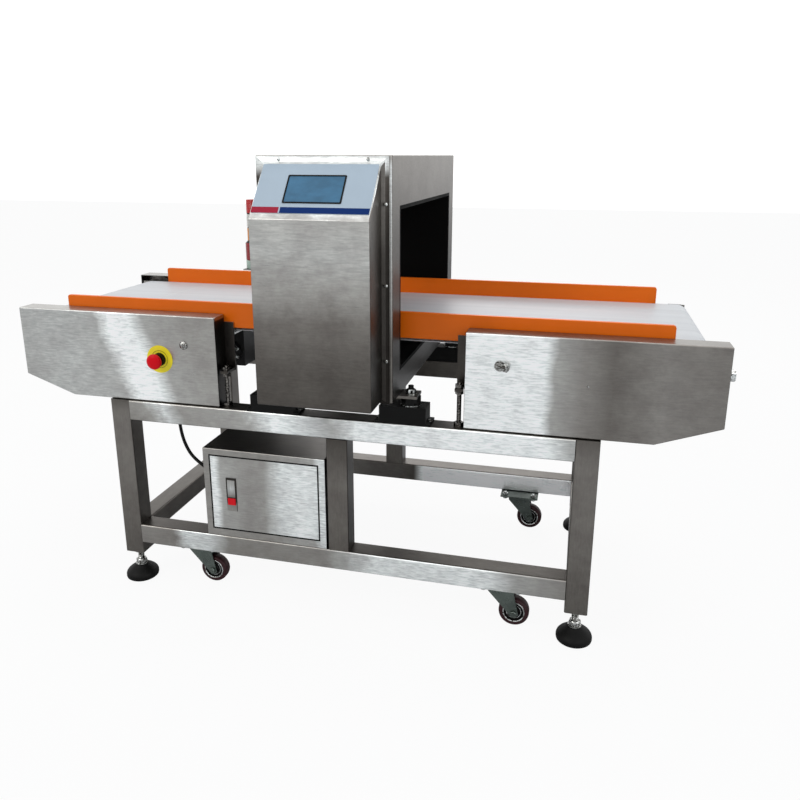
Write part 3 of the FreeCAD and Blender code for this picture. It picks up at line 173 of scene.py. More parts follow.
class Finish:
    """A material, with the methods that add nodes to it and link them."""

    def __init__(self, name):
        self.material = bpy.data.materials.new(name)
        self.material.use_nodes = True
        self.tree = self.material.node_tree
        self.shader = self.tree.nodes["Principled BSDF"]

    def node(self, kind, settings=None, *values, out=0, **named):
        node = self.tree.nodes.new(kind)
        for key, value in (settings or {}).items():
            if key == "stops":
                ramp = node.color_ramp
                while len(ramp.elements) < len(value):
                    ramp.elements.new(0.5)
                for element, (place, shade) in zip(ramp.elements, value):
                    element.position = place
                    element.color = (*shade, 1.0)
            else:
                setattr(node, key, value)
        pairs = list(enumerate(values)) + list(named.items())
        for key, value in pairs:
            self.feed(node.inputs[key], value)
        return Link(self, node.outputs[out])

    def feed(self, socket, value):
        if isinstance(value, Link):
            self.tree.links.new(value.socket, socket)
        elif socket.type == "RGBA" and len(value) == 3:
            socket.default_value = (*value, 1.0)
        else:
            socket.default_value = value

    def set(self, **values):
        """Sets or links sockets of the surface shader, by name with underscores."""
        for key, value in values.items():
            self.feed(self.shader.inputs[key.replace("_", " ")], value)
        return self

    def place(self, scale):
        where = self.node("ShaderNodeTexCoord", out=3)
        return self.node("ShaderNodeMapping", None, where, (0, 0, 0), (0, 0, 0), scale)

    def noise(self, scale, stretch=(1, 1, 1), detail=2.0, roughness=0.5, distortion=0.0):
        return self.node("ShaderNodeTexNoise", None, Vector=self.place(stretch), Scale=scale,
                         Detail=detail, Roughness=roughness, Distortion=distortion)

    def mix(self, factor, a, b, blend="MIX"):
        node = self.tree.nodes.new("ShaderNodeMix")
        node.data_type = "RGBA"
        node.blend_type = blend
        for index, value in ((0, factor), (6, a), (7, b)):
            self.feed(node.inputs[index], value)
        return Link(self, node.outputs[2])

    def bump(self, height, distance, strength=1.0):
        link = self.node("ShaderNodeBump", None, Height=height, Distance=distance,
                         Strength=strength)
        self.feed(self.shader.inputs["Normal"], link)
        return self


FINISHES = {}


def finish(make):
    """Keeps one copy of each finish, made when it is first asked for."""
    def get(*settings, **named):
        key = (make.__name__, settings, tuple(named.items()))
        if key not in FINISHES:
            FINISHES[key] = make(*settings, **named).material
        return FINISHES[key]
    return get


def shades():
    return bpy.context.scene.detector_colours


def tint(colour_value, factor):
    return tuple(min(1.0, channel * factor) for channel in colour_value)


GRAINS = {"x": (1.0, 60.0, 60.0), "y": (60.0, 1.0, 60.0), "z": (60.0, 60.0, 1.0)}
MARKS = {"x": (1.0, 7.0, 7.0), "y": (7.0, 1.0, 7.0), "z": (7.0, 7.0, 1.0)}


def steel_tone(level):
    """Colour of the steel at a painted brightness: brown where painted shade and the reflected dark
    room darken it, cool where it is painted bright.
    """
    share = min(1.0, level / 0.6)
    return tuple(level * (dark + (bright - dark) * share)
                 for dark, bright in zip(shades().steel_dark, shades().steel))


@finish
def brushed(axis, along, painted_tones, cloud=0.05, rough=0.30, face="y", painted_side_tones=((0.0, 0.10),),
            lean=0.0, behind=None):
    """Brushed stainless: short wavy brush marks over painted reflections and painted shade that
    change across the piece.

    tones holds (place, brightness) pairs of painted reflection and painted shade, place being 0 to
    1 along one axis. They lie on the sides that face along another axis. The other sides take their
    painted shade from others, by height.
    behind gives the axis and the painted brightness of what lies in the rear part of the piece.
    lean tilts the painted bands with height, and cloud warps them into blotches.
    """
    paint = Finish("brushed_%s_%d" % (axis, len(FINISHES)))
    where = [paint.node("ShaderNodeSeparateXYZ", None, paint.node("ShaderNodeTexCoord"), out=i)
             for i in range(3)]
    grain = paint.noise(9.0, GRAINS[axis], detail=6.0, roughness=0.65)
    marks = paint.noise(44.0, MARKS[axis], detail=3.0, roughness=0.55, distortion=0.5)
    slow = paint.noise(5.0, (1.0, 1.0, 1.6), detail=3.0, roughness=0.6)
    reflection_blotch = paint.noise(16.0, (1, 1, 1), detail=5.0, roughness=0.7)

    def ramp(levels, factor):
        stops = [(place, steel_tone(level)) for place, level in levels]
        return paint.node("ShaderNodeValToRGB", {"stops": stops + stops[-1:] * (len(stops) < 2)},
                          factor)

    # Noise warps the painted reflection bands into blotches; lean tilts them with height.
    drift = (slow * 0.6 + reflection_blotch * 0.4 - 0.5) * (cloud * 4.0) + where[2] * lean
    base = ramp(painted_tones, where["xyz".index(along)] + drift)
    # The rear part of the piece takes its own painted reflection and shade.
    if behind:
        rear_axis, painted_rear_tones = behind
        base = paint.mix(where[1].above(0.8), base, ramp(painted_rear_tones, where["xyz".index(rear_axis)]))
    # Sides that face other ways than the face axis get painted shade, for the dark room they
    # reflect.
    painted_shade_facing = paint.node("ShaderNodeSeparateXYZ", None,
                        paint.node("ShaderNodeTexCoord", out=1), out="xyz".index(face))
    base = paint.mix(painted_shade_facing.size().above(0.7), ramp(painted_side_tones, where[2]), base)
    # Lighter and darker blotches of painted reflection over the brightness.
    painted_blotches = paint.mix(reflection_blotch.mapped(0.36, 0.64), (0.86, 0.84, 0.84), (1.06, 1.06, 1.05))
    base = paint.mix(1.0, base, painted_blotches, "MULTIPLY")
    streaks = paint.mix(marks.mapped(0.34, 0.66), (0.78, 0.79, 0.80), (1.20, 1.20, 1.20))
    # Brush streaks show most where the painted reflection is bright: a painted sheen.
    shine = paint.node("ShaderNodeRGBToBW", None, base).mapped(0.30, 0.62, 0.30, 1.0)
    base = paint.mix(shine, base, paint.mix(1.0, base, streaks, "MULTIPLY"))
    paint.set(Base_Color=base, Metallic=1.0,
              Roughness=grain.mapped(0.25, 0.75, rough - 0.06, rough + 0.13) + slow * 0.06)
    return paint.bump(grain * 0.5 + marks * 0.5, 0.00014, 0.5)


@finish
def zinc():
    paint = Finish("zinc_plate")
    speckle = paint.noise(160.0, detail=3.0)
    slow = paint.noise(14.0, detail=3.0)
    base = paint.mix(slow.mapped(0.35, 0.65) * 0.6, tuple(shades().zinc), (0.05, 0.06, 0.055))
    paint.set(Base_Color=base, Metallic=1.0,
              Roughness=speckle.mapped(0.3, 0.7, 0.2, 0.36) + slow * 0.08)
    return paint.bump(speckle, 0.00004, 0.4)


@finish
def bright_steel(rough=0.2, level=0.62):
    """Turned and plated steel, with small dark and bright flecks as its edges catch light."""
    paint = Finish("bright_steel_%d" % len(FINISHES))
    flecks = paint.noise(260.0, detail=2.0)
    marks = paint.noise(120.0, detail=4.0)
    base = paint.mix(flecks.mapped(0.38, 0.6), steel_tone(level * 0.22), steel_tone(level * 1.25))
    paint.set(Base_Color=base, Metallic=1.0,
              Roughness=marks.mapped(0.3, 0.7, rough - 0.05, rough + 0.12))
    return paint.bump(marks, 0.00003, 0.3)


@finish
def oiled_steel():
    paint = Finish("oiled_steel")
    film = paint.noise(60.0, detail=4.0)
    paint.set(Base_Color=paint.mix(film.mapped(0.35, 0.65), (0.16, 0.15, 0.14), (0.07, 0.06, 0.05)),
              Metallic=0.9, Roughness=film.mapped(0.3, 0.7, 0.25, 0.5))
    return paint.bump(film, 0.00006, 0.5)


@finish
def moulded(name, rough=0.42, grain_size=420.0, shine=0.12):
    """Moulded or extruded plastic: an even colour, faintly uneven in tone and gloss."""
    shade = tuple(getattr(shades(), name))
    paint = Finish("moulded_%s_%d" % (name, len(FINISHES)))
    grain = paint.noise(grain_size, detail=2.0)
    slow = paint.noise(7.0, detail=4.0, roughness=0.6)
    scuff = paint.noise(30.0, (3.0, 1.0, 1.0), detail=6.0, roughness=0.7)
    base = paint.mix(slow.mapped(0.35, 0.65) * 0.35, shade, tint(shade, 0.78))
    base = paint.mix(scuff.mapped(0.62, 0.78) * 0.22, base, tint(shade, 1.25))
    paint.set(Base_Color=base, Roughness=slow.mapped(0.3, 0.7, rough - 0.05, rough + 0.08)
              + scuff.mapped(0.55, 0.8) * 0.10, Specular_IOR_Level=shine)
    return paint.bump(grain, 0.00006, 0.35)


@finish
def tread_rubber():
    paint = Finish("caster_tread")
    dust = paint.noise(45.0, detail=5.0, roughness=0.7)
    base = paint.mix(dust.mapped(0.45, 0.7) * 0.5, tuple(shades().tread), (0.045, 0.03, 0.03))
    paint.set(Base_Color=base, Roughness=dust.mapped(0.3, 0.7, 0.38, 0.6),
              Specular_IOR_Level=0.25)
    return paint.bump(dust, 0.0001, 0.5)


@finish
def belt_cloth():
    """Coated belt: a very fine weave under a smooth skin, with faint tracks along the run."""
    paint = Finish("belt_coating")
    weave_x = paint.node("ShaderNodeTexWave", {"bands_direction": "X"},
                         Vector=paint.place((1, 1, 1)), Scale=260.0)
    weave_y = paint.node("ShaderNodeTexWave", {"bands_direction": "Y"},
                         Vector=paint.place((1, 1, 1)), Scale=260.0)
    tracks = paint.noise(5.0, (0.25, 6.0, 1.0), detail=4.0, roughness=0.6)
    dust = paint.noise(18.0, (1, 1, 1), detail=5.0)
    shade = tuple(shades().belt)
    base = paint.mix(tracks.mapped(0.4, 0.65) * 0.4, shade, tint(shade, 0.88))
    base = paint.mix(dust.mapped(0.55, 0.75) * 0.15, base, (0.55, 0.53, 0.52))
    paint.set(Base_Color=base, Roughness=tracks.mapped(0.3, 0.7, 0.36, 0.5))
    return paint.bump(weave_x * 0.5 + weave_y * 0.5, 0.00005, 0.5)


@finish
def motor_paint():
    paint = Finish("motor_paint")
    orange_peel = paint.noise(220.0, detail=2.0)
    dust = paint.noise(12.0, detail=5.0, roughness=0.65)
    shade = tuple(shades().motor)
    base = paint.mix(dust.mapped(0.45, 0.7) * 0.5, shade, tint(shade, 1.6))
    paint.set(Base_Color=base, Roughness=dust.mapped(0.3, 0.7, 0.38, 0.55),
              Specular_IOR_Level=0.25)
    return paint.bump(orange_peel, 0.00012, 0.5)


@finish
def screen_glass():
    """Unlit touch screen: dark blue-grey glass with a faint cloudy film."""
    paint = Finish("screen_glass")
    film = paint.noise(16.0, (1.0, 1.0, 2.0), detail=4.0, roughness=0.6)
    shade = tuple(shades().screen)
    base = paint.mix(film.mapped(0.35, 0.7), shade, tint(shade, 1.45))
    paint.set(Base_Color=base, Roughness=film.mapped(0.3, 0.7, 0.08, 0.2),
              Specular_IOR_Level=0.3)
    return paint


@finish
def lens(red, green, blue):
    """Ribbed lens of the alarm lamp."""
    paint = Finish("lens_%d" % len(FINISHES))
    wave = paint.node("ShaderNodeTexWave", {"bands_direction": "Z"},
                      Vector=paint.place((1, 1, 1)), Scale=95.0)
    shade = (red, green, blue)
    paint.set(Base_Color=paint.mix(wave * 0.5, shade, tint(shade, 0.6)),
              Roughness=wave.mapped(0.0, 1.0, 0.12, 0.22),
              Specular_IOR_Level=0.35)
    return paint.bump(wave, 0.0006, 0.6)


# ---------------------------------------------------------------- mesh helpers

def keep(name, mesh, body, material, slot, smooth=35.0):
    """Makes an object from a bmesh, gives it a finish, and lets it ride on a body."""
    data = bpy.data.meshes.new(name)
    bmesh.ops.recalc_face_normals(mesh, faces=mesh.faces)
    mesh.to_mesh(data)
    mesh.free()
    data.materials.append(material)
    piece = bpy.data.objects.new(name, data)
    bpy.context.scene.collection.objects.link(piece)
    if smooth:
        data.shade_smooth()
        data.set_sharp_from_angle(angle=math.radians(smooth))
    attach(piece, body)
    return piece


def bake(piece):
    """Applies the piece's modifiers to its mesh."""
    graph = bpy.context.evaluated_depsgraph_get()
    mesh = bpy.data.meshes.new_from_object(piece.evaluated_get(graph))
    old = piece.data
    piece.modifiers.clear()
    piece.data = mesh
    bpy.data.meshes.remove(old)
    return piece


def node_body(node):
    return frame["nodes"][node]["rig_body"]


def node_slot(node):
    for row in frame["record"]["subparts"]:
        if row["node"] == node:
            return row["material_slot"]
    return None


def dress(node, material, bend=None, segments=2, smooth=35.0):
    """Replaces a CAD node by the same solid, with its sharp edges softened where bend is given."""
    mesh = bmesh.new()
    mesh.from_mesh(frame["nodes"][node].data)
    bmesh.ops.remove_doubles(mesh, verts=mesh.verts, dist=0.00001)
    bmesh.ops.dissolve_limit(mesh, angle_limit=math.radians(1.0), verts=mesh.verts,
                             edges=mesh.edges)
    piece = keep(node + "_dressed", mesh, node_body(node), material, node_slot(node), smooth)
    if bend:
        bevel = piece.modifiers.new("bend", "BEVEL")
        bevel.width = bend
        bevel.segments = segments
        bevel.limit_method = "ANGLE"
        bevel.angle_limit = math.radians(50)
        bevel.use_clamp_overlap = True
        bevel.harden_normals = True
    if smooth:
        weigh = piece.modifiers.new("weigh", "WEIGHTED_NORMAL")
        weigh.keep_sharp = True
        weigh.weight = 100
    if piece.modifiers:
        bpy.context.view_layer.update()
        bake(piece)
    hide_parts(node)
    return piece


AXES = {"x": Matrix.Rotation(math.radians(90), 4, "Y"),
        "-x": Matrix.Rotation(math.radians(-90), 4, "Y"),
        "y": Matrix.Rotation(math.radians(-90), 4, "X"),
        "-y": Matrix.Rotation(math.radians(90), 4, "X"),
        "z": Matrix.Identity(4),
        "-z": Matrix.Rotation(math.radians(180), 4, "X")}


def placed(point, axis):
    """Matrix that stands a form on a point, with its Z along an axis or turned by a matrix."""
    return Matrix.Translation(at(*point)) @ (axis if isinstance(axis, Matrix) else AXES[axis])


def skin(mesh, rings, capped=True):
    """Joins rings that have the same number of corners, and closes both ends."""
    for low, high in zip(rings, rings[1:]):
        for i in range(len(low)):
            j = (i + 1) % len(low)
            mesh.faces.new((low[i], low[j], high[j], high[i]))
    if capped:
        mesh.faces.new(rings[0][::-1])
        mesh.faces.new(rings[-1])
    return mesh


def turned(mesh, point, axis, profile, sides=32, closed=False):
    """Adds a turned form to a bmesh: profile is (radius, height) in millimetres along the axis."""
    where = placed(point, axis)
    rings = []
    for radius, height in profile:
        if radius < 1e-6:
            rings.append([mesh.verts.new(where @ Vector((0, 0, height * MM)))])
            continue
        rings.append([mesh.verts.new(where @ Vector((
            radius * MM * math.cos(2 * math.pi * i / sides),
            radius * MM * math.sin(2 * math.pi * i / sides), height * MM)))
            for i in range(sides)])
    pairs = list(zip(rings, rings[1:]))
    if closed:
        pairs.append((rings[-1], rings[0]))
    for low, high in pairs:
        for i in range(sides):
            j = (i + 1) % sides
            corners = ([low[i], low[j]] if len(low) > 1 else [low[0]])
            corners += ([high[j], high[i]] if len(high) > 1 else [high[0]])
            if len(corners) > 2:
                mesh.faces.new(corners)
    return mesh


def mirrored(half):
    """A profile that is the same on both sides of height 0, from its lower half."""
    return half + [(radius, -height) for radius, height in reversed(half) if height]


def prism(mesh, point, axis, outline, height):
    """Adds a straight prism; outline is points in millimetres across the axis."""
    where = placed(point, axis)
    return skin(mesh, [[mesh.verts.new(where @ Vector((a * MM, b * MM, level * MM)))
                        for a, b in outline] for level in (0, height)])


def hexagon(mesh, point, axis, flats, height, turn=0.0):
    """Adds a chamfered hexagon nut or head."""
    corner = flats / math.sqrt(3)
    spin = (axis if isinstance(axis, Matrix) else AXES[axis]) @ Matrix.Rotation(turn, 4, "Z")
    where = placed(point, spin)
    chamfer = min(1.0, height * 0.18)
    levels = ((corner - chamfer, 0.0), (corner, chamfer), (corner, height - chamfer),
              (corner - chamfer, height))
    return skin(mesh, [[mesh.verts.new(where @ Vector((
        radius * MM * math.cos(math.radians(60 * i)),
        radius * MM * math.sin(math.radians(60 * i)), level * MM))) for i in range(6)]
        for radius, level in levels])


def bolt(mesh, point, axis, size=8.0, turn=0.0):
    """Adds a hexagon bolt head on its washer."""
    washer, rim = size * 0.18, size * 1.05
    turned(mesh, point, axis, [(0.0, 0.0), (rim, 0.0), (rim, washer), (0.0, washer)], 24)
    seat = Vector(point) + AXES[axis] @ Vector((0, 0, 1)) * washer
    return hexagon(mesh, seat, axis, size * 1.62, size * 0.62, turn)


def thread(mesh, point, axis, radius, height, pitch=1.5):
    """Adds a threaded bar as turned ridges."""
    profile, level = [(0.0, 0.0)], 0.0
    while level < height - pitch:
        profile += [(radius * 0.88, level), (radius, level + pitch * 0.5)]
        level += pitch
    profile += [(radius * 0.88, level), (radius * 0.8, height), (0.0, height)]
    return turned(mesh, point, axis, profile, 20)


def screw(mesh, point, axis, radius):
    """Adds a domed panel screw."""
    return turned(mesh, point, axis, [
        (radius, 0.0), (radius, 0.4), (radius * 0.9, radius * 0.34),
        (radius * 0.6, radius * 0.52), (0.0, radius * 0.56)], 20)


def rounded(width, height, radius, steps=5):
    """Outline of a rectangle with round corners, about its own middle."""
    points = []
    for cx, cy, start in ((1, 1, 0), (-1, 1, 90), (-1, -1, 180), (1, -1, 270)):
        for i in range(steps + 1):
            angle = math.radians(start + 90 * i / steps)
            points.append((cx * (width / 2 - radius) + radius * math.cos(angle),
                           cy * (height / 2 - radius) + radius * math.sin(angle)))
    return points


# ---------------------------------------------------------------- stage

CAMERA_PLACE = (506.7, -1761.9, 1044.5)
CAMERA_TURN = (74.70, 0.0, 14.16)
CAMERA_LENS = 33.29
CAMERA_SHIFT = (0.0068, -0.0526)


def mix_shaders(tree, share, plain, white, target):
    """Sends a mix of two shaders to an output: plain where the share is 0, white where it is 1."""
    mix = tree.nodes.new("ShaderNodeMixShader")
    for i, socket in enumerate((share, plain, white)):
        tree.links.new(socket, mix.inputs[i])
    tree.links.new(mix.outputs[0], tree.nodes[target].inputs[0])


class DETECTOR_OT_stage(bpy.types.Operator):
    """Floor, world, lights and camera"""
    bl_idname = "detector.stage"
    bl_label = "Stage"

    def execute(self, context):
        self.world(context)
        self.floor()
        self.lights()
        self.camera(context)
        context.scene.view_settings.view_transform = "Standard"
        return {"FINISHED"}

    def world(self, context):
        world = bpy.data.worlds.new("studio")
        context.scene.world = world
        world.use_nodes = True
        nodes, links = world.node_tree.nodes, world.node_tree.links
        background = nodes["Background"]
        background.inputs["Color"].default_value = (0.86, 0.90, 0.95, 1)
        background.inputs["Strength"].default_value = 0.55
        white = nodes.new("ShaderNodeBackground")
        white.inputs["Color"].default_value = (1, 1, 1, 1)
        white.inputs["Strength"].default_value = 1.3
        path = nodes.new("ShaderNodeLightPath")
        seen = path.outputs["Is Camera Ray"]
        for ray in ("Is Glossy Ray", "Is Transmission Ray"):
            add = nodes.new("ShaderNodeMath")
            add.operation = "ADD"
            add.use_clamp = True
            links.new(seen, add.inputs[0])
            links.new(path.outputs[ray], add.inputs[1])
            seen = add.outputs[0]
        mix_shaders(world.node_tree, seen, background.outputs[0], white.outputs[0],
                    "World Output")

    def floor(self):
        mesh = bmesh.new()
        size = 14.0
        for x, y in ((-size, -size), (size, -size), (size, size), (-size, size)):
            mesh.verts.new((x, y, -0.0005))
        mesh.faces.new(mesh.verts)
        data = bpy.data.meshes.new("floor")
        mesh.to_mesh(data)
        mesh.free()
        floor = bpy.data.objects.new("floor", data)
        bpy.context.scene.collection.objects.link(floor)
        paint = Finish("floor_white")
        paint.set(Base_Color=(0.82, 0.82, 0.82), Roughness=0.7)
        tree = paint.tree
        path = tree.nodes.new("ShaderNodeLightPath")
        white = tree.nodes.new("ShaderNodeEmission")
        white.inputs["Color"].default_value = (1, 1, 1, 1)
        see = tree.nodes.new("ShaderNodeMath")
        see.operation = "MULTIPLY"
        see.inputs[1].default_value = 0.93
        tree.links.new(path.outputs["Is Camera Ray"], see.inputs[0])
        mix_shaders(tree, see.outputs[0], paint.shader.outputs[0], white.outputs[0],
                    "Material Output")
        data.materials.append(paint.material)

    def lights(self):
        for name, place, aim, size, power, shade in (
                ("key", (-2.6, -3.2, 3.4), (0, 0, 0.6), (2.4, 1.6), 55, (1.0, 0.98, 0.95)),
                ("fill", (3.4, -2.4, 2.2), (0, 0, 0.6), (1.8, 2.4), 22, (0.94, 0.97, 1.0)),
                ("top", (0.3, 0.4, 3.9), (0, 0, 0.6), (3.0, 2.2), 30, (1.0, 1.0, 1.0)),
                ("back", (-0.6, 4.0, 2.6), (0, 0, 0.7), (2.6, 1.6), 26, (1.0, 1.0, 1.0))):
            lamp = bpy.data.lights.new(name, "AREA")
            lamp.shape = "RECTANGLE"
            lamp.size, lamp.size_y = size
            lamp.energy = power
            lamp.color = shade
            light = bpy.data.objects.new(name, lamp)
            bpy.context.scene.collection.objects.link(light)
            light.location = place
            light.rotation_euler = (Vector(aim) - Vector(place)).to_track_quat("-Z", "Y").to_euler()

    def camera(self, context):
        lens = bpy.data.cameras.new("camera")
        lens.lens = CAMERA_LENS
        lens.sensor_width = 36.0
        lens.shift_x, lens.shift_y = CAMERA_SHIFT
        camera = bpy.data.objects.new("camera", lens)
        context.scene.collection.objects.link(camera)
        camera.location = at(*CAMERA_PLACE)
        camera.rotation_euler = [math.radians(turn) for turn in CAMERA_TURN]
        context.scene.camera = camera


# ---------------------------------------------------------------- stand

def corners(x, y):
    """The four points at plus and minus x and y, each with its two signs."""
    return [(side_x * x, side_y * y, side_x, side_y) for side_x in (-1, 1) for side_y in (-1, 1)]


def outward(side):
    return "y" if side > 0 else "-y"


def corner_name(side_x, side_y):
    return "%s_%s" % ("front" if side_y < 0 else "rear", "left" if side_x < 0 else "right")


# Painted reflection and painted shade along the rails, as brightness at places along each rail; the
# sides other than the front are painted dark as shade.
TOP_RAIL_PAINTED_TONES = ((0.0, 0.28), (0.06, 0.36), (0.1, 0.76), (0.14, 0.36), (0.3, 0.42),
                  (0.36, 0.95), (0.44, 0.72), (0.5, 0.5), (0.58, 0.95), (0.94, 1.0), (1.0, 0.5))
LOW_RAIL_PAINTED_TONES = ((0.0, 0.28), (0.09, 0.26), (0.13, 0.76), (0.19, 0.72), (0.24, 0.28),
                  (0.46, 0.32), (0.52, 0.5), (0.6, 0.86), (0.84, 0.92), (0.89, 0.44), (1.0, 0.3))
REAR_LOW_PAINTED_TONES = ((0.0, 0.34), (0.3, 0.26), (0.56, 0.1), (0.59, 1.2))
PAINTED_SHADE_SIDES = ((0.0, 0.10),)


class DETECTOR_OT_stand(bpy.types.Operator):
    """Square-tube stand: legs, rails, cross rails and posts"""
    bl_idname = "detector.stand"
    bl_label = "Stand"

    def execute(self, context):
        # Legs, rails, cross rails and posts carry painted reflections on their fronts and painted
        # shade on their other sides; cross rails and posts under the belt are painted dark as
        # shade.
        for end in ("front_left", "front_right", "rear_left", "rear_right"):
            dress("leg_" + end, brushed("z", "z", (
                (0.0, 0.13), (0.25, 0.16), (0.6, 0.19), (0.9, 0.2), (1.0, 0.13)), 0.06,
                painted_side_tones=((0.0, 0.13), (1.0, 0.09))))
        dress("top_rail_front", brushed("x", "x", TOP_RAIL_PAINTED_TONES, 0.04, painted_side_tones=PAINTED_SHADE_SIDES,
                                        lean=0.02))
        dress("top_rail_rear", brushed("x", "x", ((0.0, 0.2), (0.5, 0.06), (1.0, 0.12)), 0.1,
                                       painted_side_tones=PAINTED_SHADE_SIDES, behind=("x", TOP_RAIL_PAINTED_TONES)))
        dress("bottom_rails", brushed("x", "x", LOW_RAIL_PAINTED_TONES, 0.04, painted_side_tones=PAINTED_SHADE_SIDES,
                                      behind=("x", REAR_LOW_PAINTED_TONES)))
        for node in ("top_cross_rails", "bottom_cross_rails"):
            dress(node, brushed("y", "y", ((0.0, 0.14), (0.5, 0.11), (1.0, 0.14)), face="x",
                                painted_side_tones=((0.0, 0.10), (1.0, 0.12))))
        dress("mid_posts", brushed("z", "z", ((0.0, 0.14), (0.6, 0.17), (1.0, 0.08)),
                                   painted_side_tones=((0.0, 0.06), (1.0, 0.04))))
        return {"FINISHED"}


FOOT_X, FOOT_Y = 545, 265
PAD_LOW, FOOT_NUT_LOW, STUD_LOW, LOCK_NUT_LOW = -5, 30, 42, 63
FOOT_NUT_FLATS = 24


class DETECTOR_OT_feet(bpy.types.Operator):
    """Levelling feet: bell pads, threaded studs and lock nuts"""
    bl_idname = "detector.feet"
    bl_label = "Levelling feet"

    def execute(self, context):
        for x, y, side_x, side_y in corners(FOOT_X, FOOT_Y):
            end = corner_name(side_x, side_y)
            body = "foot_" + end
            pad = turned(bmesh.new(), (x, y, PAD_LOW), "z", [
                (0, 0.3), (35, 0.3), (37, 0), (39.2, 1.8), (40, 5), (39.9, 10), (38.6, 14),
                (35.6, 18), (31, 22), (25.6, 25.8), (20.8, 29.4), (17.8, 32.4), (15.8, 34.6),
                (13.5, 35.2), (0, 35.2)], 64)
            piece = keep("pad_" + end, pad, body, moulded("black", 0.48), "foot_black", 50)
            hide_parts("levelling_foot_" + end)
            stud = bmesh.new()
            hexagon(stud, (x, y, FOOT_NUT_LOW), "z", FOOT_NUT_FLATS, 12, 0.3)
            turned(stud, (x, y, FOOT_NUT_LOW - 0.2), "z", [
                (0, 0), (15.0, 0), (15.0, 1.8), (13.2, 2.6), (0, 2.6)], 40)
            turned(stud, (x, y, STUD_LOW), "z", [
                (11.6, -0.2), (10.4, 1.6), (8.6, 2.7), (0, 2.8)], 40)
            thread(stud, (x, y, STUD_LOW), "z", 8.0, 85, 2.0)
            keep("stud_" + end, stud, body, bright_steel(0.18, 0.4), "foot_black", 40)
            nut = hexagon(bmesh.new(), (x, y, LOCK_NUT_LOW), "z", FOOT_NUT_FLATS, 9.8, 0.1)
            keep("lock_nut_" + end, nut, "machine", bright_steel(0.18, 0.4), "zinc", 40)
        return {"FINISHED"}


# ---------------------------------------------------------------- casters

CASTER_X, CASTER_Y, PLATE_LOW, AXLE_Z, TRAIL = 378, 240, 98, 30.5, 30
PLATE_BOLT_X, PLATE_BOLT_Y = 39.5, 28


class DETECTOR_OT_casters(bpy.types.Operator):
    """Swivel casters with their plates, ball races, forks and wheels"""
    bl_idname = "detector.casters"
    bl_label = "Casters"

    def execute(self, context):
        dress("caster_plates", zinc(), 0.0008)
        bolts, races = bmesh.new(), bmesh.new()
        for x, y, side_x, side_y in corners(CASTER_X, CASTER_Y):
            end = corner_name(side_x, side_y)
            for hole_x, hole_y, _, hole_side in corners(PLATE_BOLT_X, PLATE_BOLT_Y):
                bolt_x, bolt_y = x + hole_x, y + hole_y
                bolt(bolts, (bolt_x, bolt_y, PLATE_LOW), "-z", 8.0, 0.3)
                if side_y * hole_side < 0:
                    hexagon(bolts, (bolt_x, bolt_y, PLATE_LOW + 4), "z", 13, 6.5, 0.2)
                    thread(bolts, (bolt_x, bolt_y, PLATE_LOW + 9), "z", 4, 5, 1.25)
            turned(races, (x, y, PLATE_LOW), "-z", [
                (0, 0), (28.5, 0), (28.5, 0.12), (0, 0.12)], 48)
            self.fork(x, y, end)
            self.wheel(x + TRAIL, y, end)
        keep("caster_bolts", bolts, "machine", bright_steel(0.22), "zinc", 40)
        keep("caster_races", races, "machine", zinc(), "zinc", 40)
        return {"FINISHED"}

    def fork(self, x, y, end):
        body = "fork_" + end
        dress("caster_fork_" + end, zinc(), 0.0009, 2)
        extra = bmesh.new()
        turned(extra, (x, y, PLATE_LOW - 0.5), "-z", [
            (24, 0), (27.5, 0), (29.5, 1.8), (29.5, 3.0), (31.2, 4.2), (31.2, 6.0), (29.0, 7.6),
            (24, 7.9)], 56, closed=True)
        for side in (-1, 1):
            axis = outward(side)
            hexagon(extra, (x + TRAIL, y + side * 17.5, AXLE_Z), axis, 13, 5.2, 0.35)
            thread(extra, (x + TRAIL, y + side * 21, AXLE_Z), axis, 4.2, 3.4, 1.25)
        keep("fork_race_" + end, extra, body, zinc(), "zinc", 40)

    def wheel(self, x, y, end):
        body = "wheel_" + end
        tread = turned(bmesh.new(), (x, y, AXLE_Z), "y", mirrored([
            (24.9, -11.6), (28.3, -12.5), (31.8, -11.8), (34.0, -9.6), (34.9, -5.8), (35, 0)]),
            72, closed=True)
        piece = keep("tread_" + end, tread, body, tread_rubber(), "wheel", 50)
        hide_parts("caster_wheel_" + end)
        hub = turned(bmesh.new(), (x, y, AXLE_Z), "y", mirrored([
            (4.05, -12.5), (11.5, -12.5), (12.5, -11.4), (13.8, -8.6), (20.5, -8.6),
            (21.6, -10.2), (22.6, -12.0), (24.8, -12.3), (25, -11.4)]), 56, closed=True)
        keep("hub_" + end, hub, body, moulded("black", 0.35), "wheel", 40)
        rings = bmesh.new()
        for side in (-1, 1):
            axis = outward(side)
            turned(rings, (x, y + side * 12.0, AXLE_Z), axis, [
                (22.7, 0), (23.5, 0.65), (24.8, 0.65), (25.4, 0)], 56, closed=True)
            turned(rings, (x, y + side * 8.7, AXLE_Z), axis, [
                (15.7, 0), (16.1, 0.55), (17.2, 0.55), (17.6, 0)], 48, closed=True)
        keep("hub_rings_" + end, rings, body, bright_steel(0.28), "zinc", 40)


# ---------------------------------------------------------------- conveyor

ROLLER_X, ROLLER_Z = 750, 648
BLOCK_FACE, BLOCK_BOLT = 257, 14.5
BELT_TOP = 678


